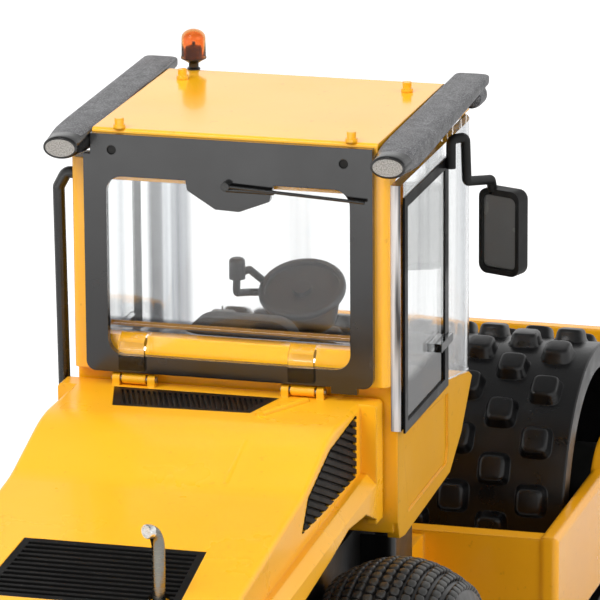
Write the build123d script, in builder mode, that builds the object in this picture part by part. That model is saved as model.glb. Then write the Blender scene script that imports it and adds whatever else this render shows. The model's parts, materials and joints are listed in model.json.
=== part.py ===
"""Toy single-drum road roller: articulated die-cast model with a padfoot drum.

Frame: +X to the machine's right, +Y forwards (towards the drum), +Z up, millimetres.
The origin is on the ground, under the middle of the model's length and width.
"""
import os
from math import atan2, cos, degrees, pi, radians, sin, tan

from build123d import *

# ---------------------------------------------------------------- driving dimensions
running_gap = 0.05          # radial clearance of every running fit
side_gap = 0.2              # axial clearance beside turning pieces
seat_gap = 0.02             # sliding clearance between trim and its recess

# stations along the machine
axle_y = -21.0              # rear axle
pivot_y = 3.0               # steering pivot
drum_y = 41.5               # drum axis
cab_rear_y = -15.0          # rear face of the cab
cab_front_y = 16.5          # front of the windscreen
tail_y = -61.0              # rear face of the counterweight
nose_y = 61.0               # front face of the front frame

# rear wheels
tyre_radius = 13.8
tyre_width = 12.6
track_half = 16.5           # middle of a tyre from the machine's centre plane
rim_radius = 7.4
hub_radius = 2.6
axle_radius = 1.0
tyre_groove = 0.9           # depth of the gaps between the tread blocks
tyre_crown = 2.1            # drop of the crown at the shoulders
tyre_edge = 0.5             # bevel between sidewall and tread
tread_rows = 5
tread_blocks = 26           # blocks round one row of the tread

# padfoot drum
drum_radius = 14.6          # smooth shell
pad_height = 1.2
drum_half_width = 20.8
drum_wall = 2.3
pad_rows = 10
pads_per_row = 16
pad_base = 3.0
pad_top = 2.2
pad_root = 0.4              # pad's foot below the shell's surface
drum_rim_land = 1.75        # bare shell outside the last row
end_plate_inset = 4.6       # drum end plate, in from the shell's rim
drum_shaft_radius = 1.5

# front frame
frame_plate = 1.9
frame_top_z = 19.3
frame_edge = 0.6            # rounding of the side plates
frame_lip = 0.25            # side plates stand this much above and behind the rear beam
guard_top_z = 27.2          # raised guard on the front beam
frame_bottom_z = 8.4
frame_side_clearance = 0.5  # drum end to side plate
rear_beam_y = 14.5          # rear face of the cross-beam
beam_plate = 2.0
boss_half_width = 10.0
boss_depth = 4.9
motor_radius = 4.6          # hydraulic drum motor

# articulation
chassis_mid_z = 14.0
yoke_height = 8.0
ear_thickness = 1.8
ear_radius = 3.6
steer_pin_radius = 1.2
trunnion_radius = 2.0       # oscillation pin
ram_arm = 5.5               # ram pins from the steering pivot
ram_line_x = 5.0            # rams lie parallel to the centre plane
ram_pin_radius = 0.5
ram_bore_radius = 1.15
ram_eye_radius = 1.75
barrel_radius = 1.25
rod_radius = 0.6
barrel_length = 9.0
ram_stroke = 3.4

# rear chassis
rail_outer_x = 9.2
rail_plate = 1.7
chassis_top_z = 26.0
chassis_bottom_z = 8.4
deck_plate = 1.4
tail_depth = 8.0
tail_half_width = 14.5
tank_depth = 3.2
tail_top_z = 26.9

# cab
roof_z = 64.0
roof_thickness = 2.8
roof_half_width = 13.2
roof_flat_length = 24.6
cab_half_width = 14.15
left_post_stand = 1.15      # the left post stands this much outside the side windows
cab_floor_z = 27.6
floor_plate = 1.4
post_width = 2.3
post_round = 0.7
post_depth = 2.6
surround_plate = 0.7
surround_x = -0.48          # the rear window sits left of the centre plane
surround_half_width = 13.37
window_half_width = 11.29
window_bottom_z = 43.2
window_top_z = 59.8
screw_spread = 10.73
screw_radius = 0.25
screw_head = 0.42
glass_plate = 0.6
pane_rail_radius = 0.5
tab_half = 1.2
tab_plate = 0.4
side_glass_plate = 0.9
glass_bottom_z = 37.4
glass_nose_drop = 2.2       # how far the glazing's lower edge falls towards the front
door_front_y = 3.4
door_bar_z = 58.3           # bar across the top of the door window
handle_z = 41.4
panel_plate = 1.1
panel_half_width = 14.6
windscreen_corner = 5.0

# roof rails with lamps
rail_width = 3.7
rail_height = 2.1           # at the rear lamp
rail_tip_height = 1.1       # at the front end
rail_rise = 0.95            # rise of a rail's middle from rear to front
roof_rail_length = 31.3
lamp_inset = 0.3
lamp_half_width = 1.64         # half width of the rear lamp's nose
lamp_drop = 1.4             # front lamp below the rail's end
lamp_radius = 1.05
beacon_radius = 1.25
beacon_stand = 0.7            # lens above the roof
beacon_height = 3.95

# mirror and handrail
mirror_reach = 3.95         # middle of the mirror outside the side window
mirror_width = 4.4
mirror_height = 8.1
mirror_yaw = 20             # turned towards the driver
handrail_reach = 1.55       # outside the post and the lower side panel
handrail_radius = 0.55
handrail_foot = 0.8         # straight ends of the handrail

# hood
hood_x = -1.6               # the hood sits left of the cab's centre line
hood_half_width = 14.9
hood_shoulder = 1.5         # upper body is this much narrower than the skirt
hood_top_z = 40.3
hood_wall = 0.9
hood_front_wall = 1.0
hood_front_gap = 0.4        # between the hood's front edge and the cab's lower wall
hood_flange = 2.2
hood_ledge_z = 33.9
hood_ledge_fall = 2.4       # the ledge falls this much from front to back
hood_ledge_bevel = 0.9
hood_bends = ((-25.0, 0.0), (-34.0, 2.9))   # bends of the top: station, drop below the front
hood_bend_radii = (14.0, 12.0)
hood_back_drop = 6.6        # drop of the top at the back
hood_back_step = 0.8        # upper body stands in front of the skirt's back
hood_corner = 4.6           # plan radius of the back corners
hood_round = 0.45           # rounding of the shoulders
hood_foot_z = 29.2          # lower edge beside the cab
hood_arch_z = 31.7          # lower edge over the wheels
hood_tail_z = 27.2          # lower edge at the back
arch_back_y = -48.0
hood_mouth_half = 11.0      # opening in the hood's front wall
hood_mouth_z = 38.9
ridge_height = 0.35         # raised rim beside the top grille
hinge_y = -14.4
hinge_z = 40.9
hinge_spread = 7.9
hinge_width = 2.2
hinge_pin_radius = 0.3
hinge_eye_radius = 0.5
hinge_ear = 0.7
grille_recess = 0.45
grille_back = 0.2           # thickness of a grille behind its louvres
louvre_pitch = 0.73
louvre_width = 0.42
louvre_tilt = 21.5
mesh_pitch = 0.85
mesh_hole = 0.5
slit_pitch = 0.5            # fine slanting slits of the top grille
slit_width = 0.24
slit_turn = 20
mesh_depth = 0.25
mesh_margin = 0.7           # plain edge round a mesh or a row of slots
rear_grille_y = (-57.0, -46.0)
rear_grille_half = 8.7
exhaust_place = (5.0, -55.0)
exhaust_radius = 0.58
exhaust_bore = 0.38
exhaust_rise = 6.4
tail_lamp_radius = 0.9
tail_lamp_spread = 9.0
lamp_stand = 0.3            # how far the tail lamps stand off the hood

# ---------------------------------------------------------------- derived places
drum_tip_radius = drum_radius + pad_height
drum_z = drum_tip_radius
axle_z = tyre_radius
frame_inner_x = drum_half_width + frame_side_clearance
frame_outer_x = frame_inner_x + frame_plate
roof_bottom_z = roof_z - roof_thickness
rail_z = roof_z - 1.15
rail_x = roof_half_width + rail_width / 2
lower_wall_y = cab_rear_y + post_depth - seat_gap - 0.4
hood_front_y = lower_wall_y - hood_front_gap
tail_front_y = tail_y + tail_depth
rail_inner_x = rail_outer_x - rail_plate
bulkhead_y = pivot_y - ear_radius - 3.0
yoke_bottom_z = chassis_mid_z - yoke_height / 2
yoke_top_z = chassis_mid_z + yoke_height / 2
SIDES = (("left", -1), ("right", 1))

os.makedirs("parts", exist_ok=True)


# ---------------------------------------------------------------- shared shapes
def add_box(x, y, z, mode=Mode.ADD):
    """A box between the limits x, y and z, each a (low, high) pair."""
    with Locations(((x[0] + x[1]) / 2, (y[0] + y[1]) / 2, (z[0] + z[1]) / 2)):
        Box(x[1] - x[0], y[1] - y[0], z[1] - z[0], mode=mode)


def add_rod(start, end, radius, mode=Mode.ADD):
    """A round bar of one radius from point to point."""
    line = Vector(*end) - Vector(*start)
    with BuildSketch(Plane(origin=start, z_dir=line)) as section:
        Circle(radius)
    extrude(section.sketch, amount=line.length, mode=mode)


def add_slab(points, x0, x1, mode=Mode.ADD):
    """A plate with a side view given by (y, z) points, between x0 and x1."""
    with BuildSketch(Plane.YZ.offset(x0)) as side_view:
        with BuildLine():
            Polyline(*points, close=True)
        make_face()
    extrude(side_view.sketch, amount=x1 - x0, mode=mode)


def add_tube_path(points, bend, radius):
    """A round rod that follows straight runs joined by bends."""
    with BuildLine() as path:
        FilletPolyline(*points, radius=bend)
    with BuildSketch(Plane(origin=path.line @ 0, z_dir=path.line % 0)) as section:
        Circle(radius)
    sweep(section.sketch, path=path.line)


def save(part, name):
    part.label = name
    export_step(part, f"parts/{name}.step")


# ================================================================ rear wheels
def crown_radius(offset):
    """Radius of the tread's crown at a distance from the tyre's middle."""
    reach = tyre_width / 2 - tyre_edge
    return tyre_radius - tyre_crown * (offset / reach) ** 2


# one tread block, standing on the carcass at the bottom of the tyre
row_step = tyre_width / tread_rows
block_pitch = 2 * pi * tyre_radius / tread_blocks
with BuildPart() as tread_block:
    with BuildSketch(Plane.XY.offset(-tyre_groove - 0.5)):
        Rectangle(row_step * 0.8, block_pitch * 0.7)
    extrude(amount=tyre_groove + 0.5, taper=6)

block_places = []
for row in range(tread_rows):
    row_x = (row - (tread_rows - 1) / 2) * row_step
    for block in range(tread_blocks):
        turn = 2 * pi / tread_blocks * (block + 0.5 * (row % 2))
        radius = crown_radius(row_x)
        block_places.append(Plane(
            origin=(row_x, axle_y + radius * sin(turn), axle_z - radius * cos(turn)),
            x_dir=(1, 0, 0),
            z_dir=(0, sin(turn), -cos(turn)),
        ).location)

# crowned carcass with staggered rows of tread blocks, in the machine's centre plane
with BuildPart() as tyre:
    half = tyre_width / 2
    shoulder = tyre_radius - tyre_crown
    with BuildSketch(Plane.XZ.offset(-axle_y)):
        with BuildLine():
            Polyline(
                (-half + tyre_edge, axle_z + rim_radius),
                (-half, axle_z + rim_radius + 1.6),
                (-half, axle_z + shoulder - 1.0),
                (-half + tyre_edge, axle_z + shoulder),
            )
            ThreePointArc(
                (-half + tyre_edge, axle_z + shoulder),
                (0, axle_z + tyre_radius - tyre_groove),
                (half - tyre_edge, axle_z + shoulder),
            )
            Polyline(
                (half - tyre_edge, axle_z + shoulder),
                (half, axle_z + shoulder - 1.0),
                (half, axle_z + rim_radius + 1.6),
                (half - tyre_edge, axle_z + rim_radius),
                (-half + tyre_edge, axle_z + rim_radius),
            )
        make_face()
    revolve(axis=Axis((0, axle_y, axle_z), (1, 0, 0)), revolution_arc=360)
    with Locations(*block_places):
        add(tread_block.part)

for side_name, side in SIDES:
    with BuildPart() as placed_tyre:
        with Locations((side * track_half, 0, 0)):
            add(tyre.part)
    save(placed_tyre.part, f"rear_tyre_{side_name}")

    # dished rim: barrel, disc and hub with the axle pressed into it
    with BuildPart() as rim:
        half = tyre_width / 2 - 0.5
        inner = side * track_half - half
        outer = side * track_half + half
        dish = side * (track_half + 1.2)
        add_rod((inner, axle_y, axle_z), (outer, axle_y, axle_z), rim_radius)
        add_rod((inner, axle_y, axle_z), (outer, axle_y, axle_z), rim_radius - 0.8, Mode.SUBTRACT)
        add_rod((dish - 0.6, axle_y, axle_z), (dish + 0.6, axle_y, axle_z), rim_radius - 0.4)
        add_rod((side * (rail_outer_x + side_gap), axle_y, axle_z),
                (side * (track_half + 3.6), axle_y, axle_z), hub_radius)
        with Locations(Plane(origin=(dish, axle_y, axle_z), x_dir=(0, 1, 0), z_dir=(1, 0, 0))):
            with PolarLocations(4.0, 8):
                Cylinder(0.4, 2.0)
        add_rod((side * rail_outer_x, axle_y, axle_z),
                (side * (track_half + 3.0), axle_y, axle_z), axle_radius, Mode.SUBTRACT)
    save(rim.part, f"rear_rim_{side_name}")

with BuildPart() as rear_axle:
    add_rod((-track_half - 3.0, axle_y, axle_z), (track_half + 3.0, axle_y, axle_z), axle_radius)
save(rear_axle.part, "rear_axle")

with BuildPart() as axle_housing:
    add_rod((-rail_inner_x, axle_y, axle_z), (rail_inner_x, axle_y, axle_z), 2.4)
    add_rod((-2.6, axle_y, axle_z), (2.6, axle_y, axle_z), 4.4)
    add_rod((-rail_inner_x, axle_y, axle_z), (rail_inner_x, axle_y, axle_z),
            axle_radius + running_gap, Mode.SUBTRACT)
save(axle_housing.part, "axle_housing")

# ================================================================ padfoot drum
# one pad: a square frustum, standing at the bottom of the drum
with BuildPart() as drum_pad:
    with BuildSketch(Plane.XY.offset(-pad_height - pad_root)):
        Rectangle(pad_base, pad_base)
    with BuildSketch(Plane.XY):
        Rectangle(pad_top, pad_top)
    loft()

row_pitch = (2 * drum_half_width - pad_base - 2 * drum_rim_land) / (pad_rows - 1)
pad_places = []
for row in range(pad_rows):
    row_x = (row - (pad_rows - 1) / 2) * row_pitch
    for pad in range(pads_per_row):
        turn = 2 * pi / pads_per_row * (pad + 0.5 * (row % 2))
        pad_places.append(Plane(
            origin=(row_x, drum_y + drum_tip_radius * sin(turn),
                    drum_z - drum_tip_radius * cos(turn)),
            x_dir=(1, 0, 0),
            z_dir=(0, sin(turn), -cos(turn)),
        ).location)

with BuildPart() as drum_shell:
    add_rod((-drum_half_width, drum_y, drum_z), (drum_half_width, drum_y, drum_z), drum_radius)
    with Locations(*pad_places):
        add(drum_pad.part)
    add_rod((-drum_half_width, drum_y, drum_z), (drum_half_width, drum_y, drum_z),
            drum_radius - drum_wall, Mode.SUBTRACT)
save(drum_shell.part, "drum_shell")

with BuildPart() as drum_end_plates:
    for _, side in SIDES:
        plate_x = side * (drum_half_width - end_plate_inset)
        add_rod((plate_x, drum_y, drum_z), (plate_x - side * 1.2, drum_y, drum_z),
                drum_radius - drum_wall)
        add_rod((plate_x, drum_y, drum_z), (plate_x - side * 1.2, drum_y, drum_z),
                drum_shaft_radius, Mode.SUBTRACT)
save(drum_end_plates.part, "drum_end_plates")

with BuildPart() as drum_shaft:
    add_rod((-frame_outer_x, drum_y, drum_z), (frame_outer_x, drum_y, drum_z), drum_shaft_radius)
save(drum_shaft.part, "drum_shaft")

# ================================================================ front frame
with BuildPart() as front_frame:
    # side plates with rounded edges, and the two cross-beams between them
    for _, side in SIDES:
        add_box(sorted((side * frame_inner_x, side * frame_outer_x)),
                (rear_beam_y - frame_lip, nose_y), (frame_bottom_z, frame_top_z))
    fillet(front_frame.edges().filter_by(lambda e: e.length > 2 * frame_plate), frame_edge)
    beam_top_z = frame_top_z - frame_lip
    for beam_y in ((rear_beam_y, rear_beam_y + beam_plate), (nose_y - beam_plate, nose_y - frame_lip)):
        add_box((-frame_inner_x - frame_edge, frame_inner_x + frame_edge), beam_y,
                (frame_bottom_z, beam_top_z))
    # raised guard on the front beam
    guard_low_y = nose_y - beam_plate
    with BuildSketch(Plane.XZ.offset(-guard_low_y)) as guard:
        with BuildLine():
            Polyline((-frame_inner_x + 1.0, beam_top_z - 0.5), (frame_inner_x - 1.0, beam_top_z - 0.5),
                     (frame_inner_x - 3.4, guard_top_z), (-frame_inner_x + 3.4, guard_top_z),
                     close=True)
        make_face()
        fillet(guard.vertices().group_by(Axis.Y)[-1], 1.2)
    extrude(guard.sketch, amount=-1.2)
    # bearing cheeks round the shaft, inside the height of the side plates
    for _, side in SIDES:
        add_rod((side * frame_inner_x, drum_y, drum_z), (side * frame_outer_x, drum_y, drum_z), 5.6)
    # boss that takes the oscillation pin
    add_box((-boss_half_width, boss_half_width), (rear_beam_y - boss_depth, rear_beam_y),
            (frame_bottom_z, frame_top_z - 0.6))
    add_rod((0, rear_beam_y - boss_depth, chassis_mid_z), (0, rear_beam_y + beam_plate, chassis_mid_z),
            trunnion_radius + running_gap, Mode.SUBTRACT)
    add_rod((-frame_outer_x, drum_y, drum_z), (frame_outer_x, drum_y, drum_z),
            drum_shaft_radius + running_gap, Mode.SUBTRACT)
save(front_frame.part, "front_frame")

with BuildPart() as drum_motors:
    for _, side in SIDES:
        face = side * frame_inner_x
        add_rod((face, drum_y, drum_z), (face - side * 2.6, drum_y, drum_z), motor_radius)
        add_rod((face - side * 2.6, drum_y, drum_z), (face - side * 3.6, drum_y, drum_z), 3.0)
        with Locations(Plane(origin=(face - side * 2.6, drum_y, drum_z), x_dir=(0, 1, 0),
                             z_dir=(1, 0, 0))):
            with PolarLocations(3.8, 6):
                Cylinder(0.35, 1.0)
        add_rod((face, drum_y, drum_z), (face - side * 3.6, drum_y, drum_z),
                drum_shaft_radius + running_gap, Mode.SUBTRACT)
save(drum_motors.part, "drum_motors")

# scraper bars carried by the cross-beams, with teeth between the pad rows
with BuildPart() as scrapers:
    for beam_face, inward in ((rear_beam_y + beam_plate, 1), (nose_y - beam_plate, -1)):
        low, high = sorted((beam_face, beam_face + inward * 1.0))
        add_box((-frame_inner_x + 1.0, frame_inner_x - 1.0), (low, high),
                (frame_bottom_z + 0.8, frame_bottom_z + 2.2))
save(scrapers.part, "drum_scrapers")

# ================================================================ articulation
with BuildPart() as yoke:
    add_rod((0, pivot_y, yoke_bottom_z), (0, pivot_y, yoke_top_z), ear_radius - 0.4)
    for _, side in SIDES:
        low, high = sorted((0, side * ram_arm))
        add_box((low, high), (pivot_y - 1.0, pivot_y + 1.0), (chassis_mid_z - 2.6, chassis_mid_z - 1.2))
        add_rod((side * ram_arm, pivot_y, chassis_mid_z - 2.6),
                (side * ram_arm, pivot_y, chassis_mid_z - 1.2), 1.0)
        add_rod((side * ram_arm, pivot_y, chassis_mid_z - 2.6),
                (side * ram_arm, pivot_y, chassis_mid_z + 1.2), ram_pin_radius)
    add_rod((0, pivot_y, chassis_mid_z), (0, rear_beam_y - boss_depth - side_gap, chassis_mid_z), 3.0)
    add_rod((0, pivot_y, chassis_mid_z), (0, rear_beam_y + beam_plate + side_gap, chassis_mid_z),
            trunnion_radius)
    add_rod((0, pivot_y, yoke_bottom_z), (0, pivot_y, yoke_top_z),
            steer_pin_radius + running_gap, Mode.SUBTRACT)
save(yoke.part, "articulation_yoke")

# nut that keeps the front frame on the oscillation pin
with BuildPart() as trunnion_nut:
    nut_y = rear_beam_y + beam_plate + side_gap
    with BuildSketch(Plane.XZ.offset(-nut_y)):
        with Locations((0, chassis_mid_z)):
            RegularPolygon(3.0, 6)
    extrude(amount=-1.4)
save(trunnion_nut.part, "trunnion_nut")

with BuildPart() as steer_pin:
    add_rod((0, pivot_y, yoke_bottom_z - side_gap - ear_thickness),
            (0, pivot_y, yoke_top_z + side_gap + ear_thickness), steer_pin_radius)
    add_rod((0, pivot_y, yoke_top_z + side_gap + ear_thickness),
            (0, pivot_y, yoke_top_z + side_gap + ear_thickness + 0.7), steer_pin_radius + 0.8)
save(steer_pin.part, "steering_pin")

ram_rear_y = pivot_y - barrel_length - ram_stroke - 2.0
with BuildPart() as ram_barrels:
    for _, side in SIDES:
        x = side * ram_line_x
        add_rod((x, ram_rear_y, chassis_mid_z), (x, ram_rear_y + barrel_length, chassis_mid_z),
                barrel_radius)
        add_rod((x, ram_rear_y + barrel_length - 1.0, chassis_mid_z),
                (x, ram_rear_y + barrel_length, chassis_mid_z), barrel_radius + 0.25)
        add_rod((x, ram_rear_y + 1.0, chassis_mid_z),
                (x, ram_rear_y + barrel_length, chassis_mid_z), rod_radius + running_gap, Mode.SUBTRACT)
save(ram_barrels.part, "ram_barrels")

for side_name, side in SIDES:
    x = side * ram_line_x
    with BuildPart() as rod:
        add_rod((x, ram_rear_y + 1.0 + ram_stroke + 0.4, chassis_mid_z),
                (x, pivot_y - ram_bore_radius, chassis_mid_z), rod_radius)
        add_rod((x, pivot_y, chassis_mid_z - 1.0), (x, pivot_y, chassis_mid_z + 1.0), ram_eye_radius)
        add_rod((x, pivot_y, chassis_mid_z - 1.0), (x, pivot_y, chassis_mid_z + 1.0),
                ram_bore_radius, Mode.SUBTRACT)
    save(rod.part, f"ram_rod_{side_name}")

# ================================================================ rear chassis
with BuildPart() as rear_chassis:
    # two side rails, a deck and a front bulkhead
    for _, side in SIDES:
        low, high = sorted((side * rail_inner_x, side * rail_outer_x))
        add_box((low, high), (tail_front_y, bulkhead_y + 1.4), (chassis_bottom_z, chassis_top_z))
    add_box((-rail_outer_x, rail_outer_x), (tail_front_y, bulkhead_y + 1.4),
            (chassis_top_z - deck_plate, chassis_top_z))
    add_box((-rail_outer_x, rail_outer_x), (bulkhead_y, bulkhead_y + 1.4),
            (yoke_top_z + side_gap, chassis_top_z))
    add_box((-rail_outer_x, rail_outer_x), (bulkhead_y, bulkhead_y + 1.4),
            (chassis_bottom_z, chassis_mid_z - 2.8))
    # cross-member that carries the steering rams
    add_box((-rail_outer_x, rail_outer_x), (ram_rear_y - 2.0, ram_rear_y),
            (chassis_bottom_z, chassis_top_z))
    # ears above and below the yoke
    for ear_z in (yoke_bottom_z - side_gap - ear_thickness, yoke_top_z + side_gap):
        with BuildSketch(Plane.XY.offset(ear_z)):
            with BuildLine():
                reach = ear_radius
                Polyline(
                    (reach, pivot_y),
                    (rail_outer_x - 1.0, bulkhead_y + 0.7),
                    (-rail_outer_x + 1.0, bulkhead_y + 0.7),
                    (-reach, pivot_y),
                )
                ThreePointArc((-reach, pivot_y), (0, pivot_y + reach), (reach, pivot_y))
            make_face()
        extrude(amount=ear_thickness)
    add_rod((0, pivot_y, chassis_bottom_z - 4), (0, pivot_y, yoke_top_z + 4), steer_pin_radius,
            Mode.SUBTRACT)
    add_rod((-rail_outer_x, axle_y, axle_z), (rail_outer_x, axle_y, axle_z),
            axle_radius + running_gap, Mode.SUBTRACT)
save(rear_chassis.part, "rear_chassis")

with BuildPart() as counterweight:
    add_box((-tail_half_width, tail_half_width), (tail_y, tail_front_y), (11.5, tail_top_z))
    fillet(counterweight.edges().filter_by(Axis.Z).sort_by(Axis.Y)[:2], 3.2)
    fillet(counterweight.faces().sort_by(Axis.Z)[0].edges().sort_by(Axis.Y)[0], 2.0)
    # towing jaw: a slot with a vertical pin hole
    add_box((-1.6, 1.6), (tail_y, tail_y + 3.4), (14.0, 17.0), Mode.SUBTRACT)
save(counterweight.part, "counterweight")

# fuel and hydraulic tanks on the outside of the rails, ahead of the wheels
with BuildPart() as side_tanks:
    for _, side in SIDES:
        low, high = sorted((side * rail_outer_x, side * (rail_outer_x + tank_depth)))
        add_box((low, high), (bulkhead_y - 2.2, pivot_y - 1.4), (13.6, chassis_top_z - 1.0))
        fillet(side_tanks.edges().filter_by(Axis.Z).filter_by(
            lambda e: abs(e.center().X - side * (rail_outer_x + tank_depth)) < 0.01), 0.8)
        with Locations((side * (rail_outer_x + tank_depth / 2), bulkhead_y, chassis_top_z - 0.7)):
            Cylinder(0.8, 0.6)
save(side_tanks.part, "side_tanks")


# ================================================================ engine bay
engine_y = (-44.0, -24.0)
with BuildPart() as engine_block:
    add_box((-4.6, 4.6), engine_y, (chassis_top_z, chassis_top_z + 5.0))
    add_box((-5.6, 5.6), (engine_y[0] + 1.0, engine_y[1] - 1.0), (chassis_top_z, chassis_top_z + 1.6))
    with Locations(*[(5.2, engine_y[0] + 4.0 + 4.0 * i, chassis_top_z + 3.4) for i in range(4)]):
        Box(1.2, 2.2, 1.6)
save(engine_block.part, "engine_block")

with BuildPart() as rocker_cover:
    add_box((-3.2, 3.2), (engine_y[0] + 1.4, engine_y[1] - 1.4),
            (chassis_top_z + 5.0, chassis_top_z + 6.4))
    fillet(rocker_cover.edges().filter_by(Axis.Z), 0.8)
    fillet(rocker_cover.faces().sort_by(Axis.Z)[-1].edges(), 0.4)
save(rocker_cover.part, "rocker_cover")

with BuildPart() as radiator:
    add_box((-8.6, 8.6), (engine_y[0] - 5.4, engine_y[0] - 3.0), (chassis_top_z, chassis_top_z + 6.0))
    for i in range(9):
        add_box((-8.0, 8.0), (engine_y[0] - 3.4, engine_y[0] - 2.9),
                (chassis_top_z + 0.6 + 0.6 * i, chassis_top_z + 0.9 + 0.6 * i), Mode.SUBTRACT)
save(radiator.part, "radiator")

fan_z = chassis_top_z + 3.0
with BuildPart() as fan:
    fan_face = engine_y[0] - 2.2
    add_rod((0, fan_face, fan_z), (0, engine_y[0], fan_z), 0.6)
    with Locations((0, fan_face + 0.5, fan_z)):
        for i in range(6):
            with Locations(Rotation(0, 60 * i, 0)):
                with Locations((1.5, 0, 0)):
                    Box(2.4, 0.35, 0.9, rotation=(25, 0, 0))
save(fan.part, "cooling_fan")

with BuildPart() as air_filter:
    add_rod((7.6, -40.0, chassis_top_z + 1.7), (7.6, -32.0, chassis_top_z + 1.7), 1.6)
    add_rod((7.6, -32.0, chassis_top_z + 1.7), (7.6, -31.2, chassis_top_z + 1.7), 1.2)
    add_box((6.8, 8.4), (-38.0, -34.0), (chassis_top_z, chassis_top_z + 0.6))
save(air_filter.part, "air_filter")

# ================================================================ cab body
# outline of the clear glazing's lower edge, falling towards the nose
glass_nose_z = glass_bottom_z - glass_nose_drop
roof_front_y = cab_rear_y + roof_flat_length
post_y = (cab_rear_y + surround_plate, cab_rear_y + surround_plate + post_depth)
post_outer_x = {-1: -cab_half_width - left_post_stand, 1: cab_half_width}
post_inner_x = {side: x - side * post_width for side, x in post_outer_x.items()}
surround_bottom_z = window_bottom_z - 1.6
side_panel_outline = (
    (lower_wall_y, cab_floor_z + 1.0),
    (lower_wall_y + 0.6, cab_floor_z - 0.6),
    (post_y[0] + 4.0, cab_floor_z - 0.9),
    (cab_front_y - 10.0, cab_floor_z),
    (cab_front_y - 5.6, cab_floor_z + 2.6),
    (cab_front_y - 1.4, glass_nose_z - 0.6),
    (cab_front_y - 2.6, glass_nose_z + 0.1),
    (door_front_y, glass_bottom_z - 0.2),
    (lower_wall_y, glass_bottom_z - 0.2),
)

with BuildPart() as cab_shell:
    # roof: flat top that slopes down to the windscreen
    add_slab((
        (post_y[0], roof_z),
        (roof_front_y, roof_z),
        (cab_front_y - 0.8, roof_z - 1.7),
        (cab_front_y - 0.8, roof_bottom_z),
        (post_y[0], roof_bottom_z),
    ), -roof_half_width, roof_half_width)
    fillet(cab_shell.edges().filter_by(Axis.X).group_by(Axis.Z)[-1], 0.35)
    add_box((-cab_half_width, cab_half_width), (post_y[1], cab_front_y - 0.9),
            (roof_bottom_z - 1.0, roof_bottom_z))
    add_box((post_inner_x[-1], post_inner_x[1]), post_y, (roof_bottom_z - 1.0, roof_bottom_z))
    # rear posts with a rounded outer corner, lintel, sill beam and lower wall
    for _, side in SIDES:
        with BuildSketch(Plane.XY.offset(cab_floor_z)) as post_foot:
            with Locations(((post_inner_x[side] + post_outer_x[side]) / 2, sum(post_y) / 2)):
                Rectangle(post_width, post_depth)
            fillet(post_foot.vertices().sort_by_distance((post_outer_x[side], post_y[0], 0))[0],
                   post_round)
        extrude(post_foot.sketch, amount=roof_bottom_z - cab_floor_z)
    inner_face = post_y[0] + glass_plate + seat_gap
    add_box((post_inner_x[-1], post_inner_x[1]), (inner_face, post_y[1]),
            (window_top_z - 0.6, roof_bottom_z - 1.0))
    add_box((post_inner_x[-1], post_inner_x[1]), (inner_face, post_y[1]),
            (window_bottom_z - 0.4, window_bottom_z + 1.6))
    add_box((-cab_half_width + 0.4, cab_half_width - 0.4), (lower_wall_y, post_y[1]),
            (cab_floor_z, window_bottom_z - 0.4))
    # below the window surround the posts step forward to clear the hood
    for _, side in SIDES:
        add_box(sorted((post_inner_x[side] - side * 0.1, post_outer_x[side] + side * 0.1)),
                (post_y[0] - 0.1, lower_wall_y), (cab_floor_z - 0.1, surround_bottom_z),
                Mode.SUBTRACT)
    # lugs for the hood's hinge
    for hinge_x in (hood_x - hinge_spread, hood_x + hinge_spread):
        low, high = hinge_x - hinge_width / 2, hinge_x + hinge_width / 2
        add_box((low, high), (hinge_y, lower_wall_y), (hinge_z - 0.3, hinge_z + 0.4))
        add_rod((low, hinge_y, hinge_z), (high, hinge_y, hinge_z), hinge_eye_radius)
        add_rod((low, hinge_y, hinge_z), (high, hinge_y, hinge_z), hinge_pin_radius, Mode.SUBTRACT)
    # lower side panels with a recessed door field, and the sloping front panel
    for _, side in SIDES:
        low, high = sorted((side * (panel_half_width - panel_plate), side * panel_half_width))
        add_slab(side_panel_outline, low, high)
        low, high = sorted((side * (panel_half_width - 0.25), side * (panel_half_width + 0.5)))
        add_slab((
            (post_y[0] + 3.2, glass_bottom_z - 1.0),
            (post_y[0] + 5.4, cab_floor_z + 0.9),
            (cab_front_y - 11.2, cab_floor_z + 1.2),
            (cab_front_y - 10.6, cab_floor_z + 2.6),
            (cab_front_y - 10.6, glass_bottom_z - 1.9),
        ), low, high, Mode.SUBTRACT)
    add_slab((
        (cab_front_y - 10.0, cab_floor_z),
        (cab_front_y - 5.6, cab_floor_z + 2.6),
        (cab_front_y - 1.4, glass_nose_z - 0.6),
        (cab_front_y - 2.6, glass_nose_z + 0.1),
        (cab_front_y - 6.6, cab_floor_z + 3.6),
        (cab_front_y - 10.6, cab_floor_z + 1.2),
    ), -panel_half_width + panel_plate, panel_half_width - panel_plate)
save(cab_shell.part, "cab_shell")

with BuildPart() as cab_floor:
    add_box((-panel_half_width + panel_plate, panel_half_width - panel_plate),
            (post_y[1], cab_front_y - 10.6), (cab_floor_z, cab_floor_z + floor_plate))
save(cab_floor.part, "cab_floor")

with BuildPart() as cab_mounts:
    with Locations(*[(x, y, (chassis_top_z + cab_floor_z) / 2) for x in (-7.0, 7.0)
                     for y in (post_y[1] + 2.0, bulkhead_y - 0.4)]):
        Cylinder(1.3, cab_floor_z - chassis_top_z)
save(cab_mounts.part, "cab_mounts")

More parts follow.
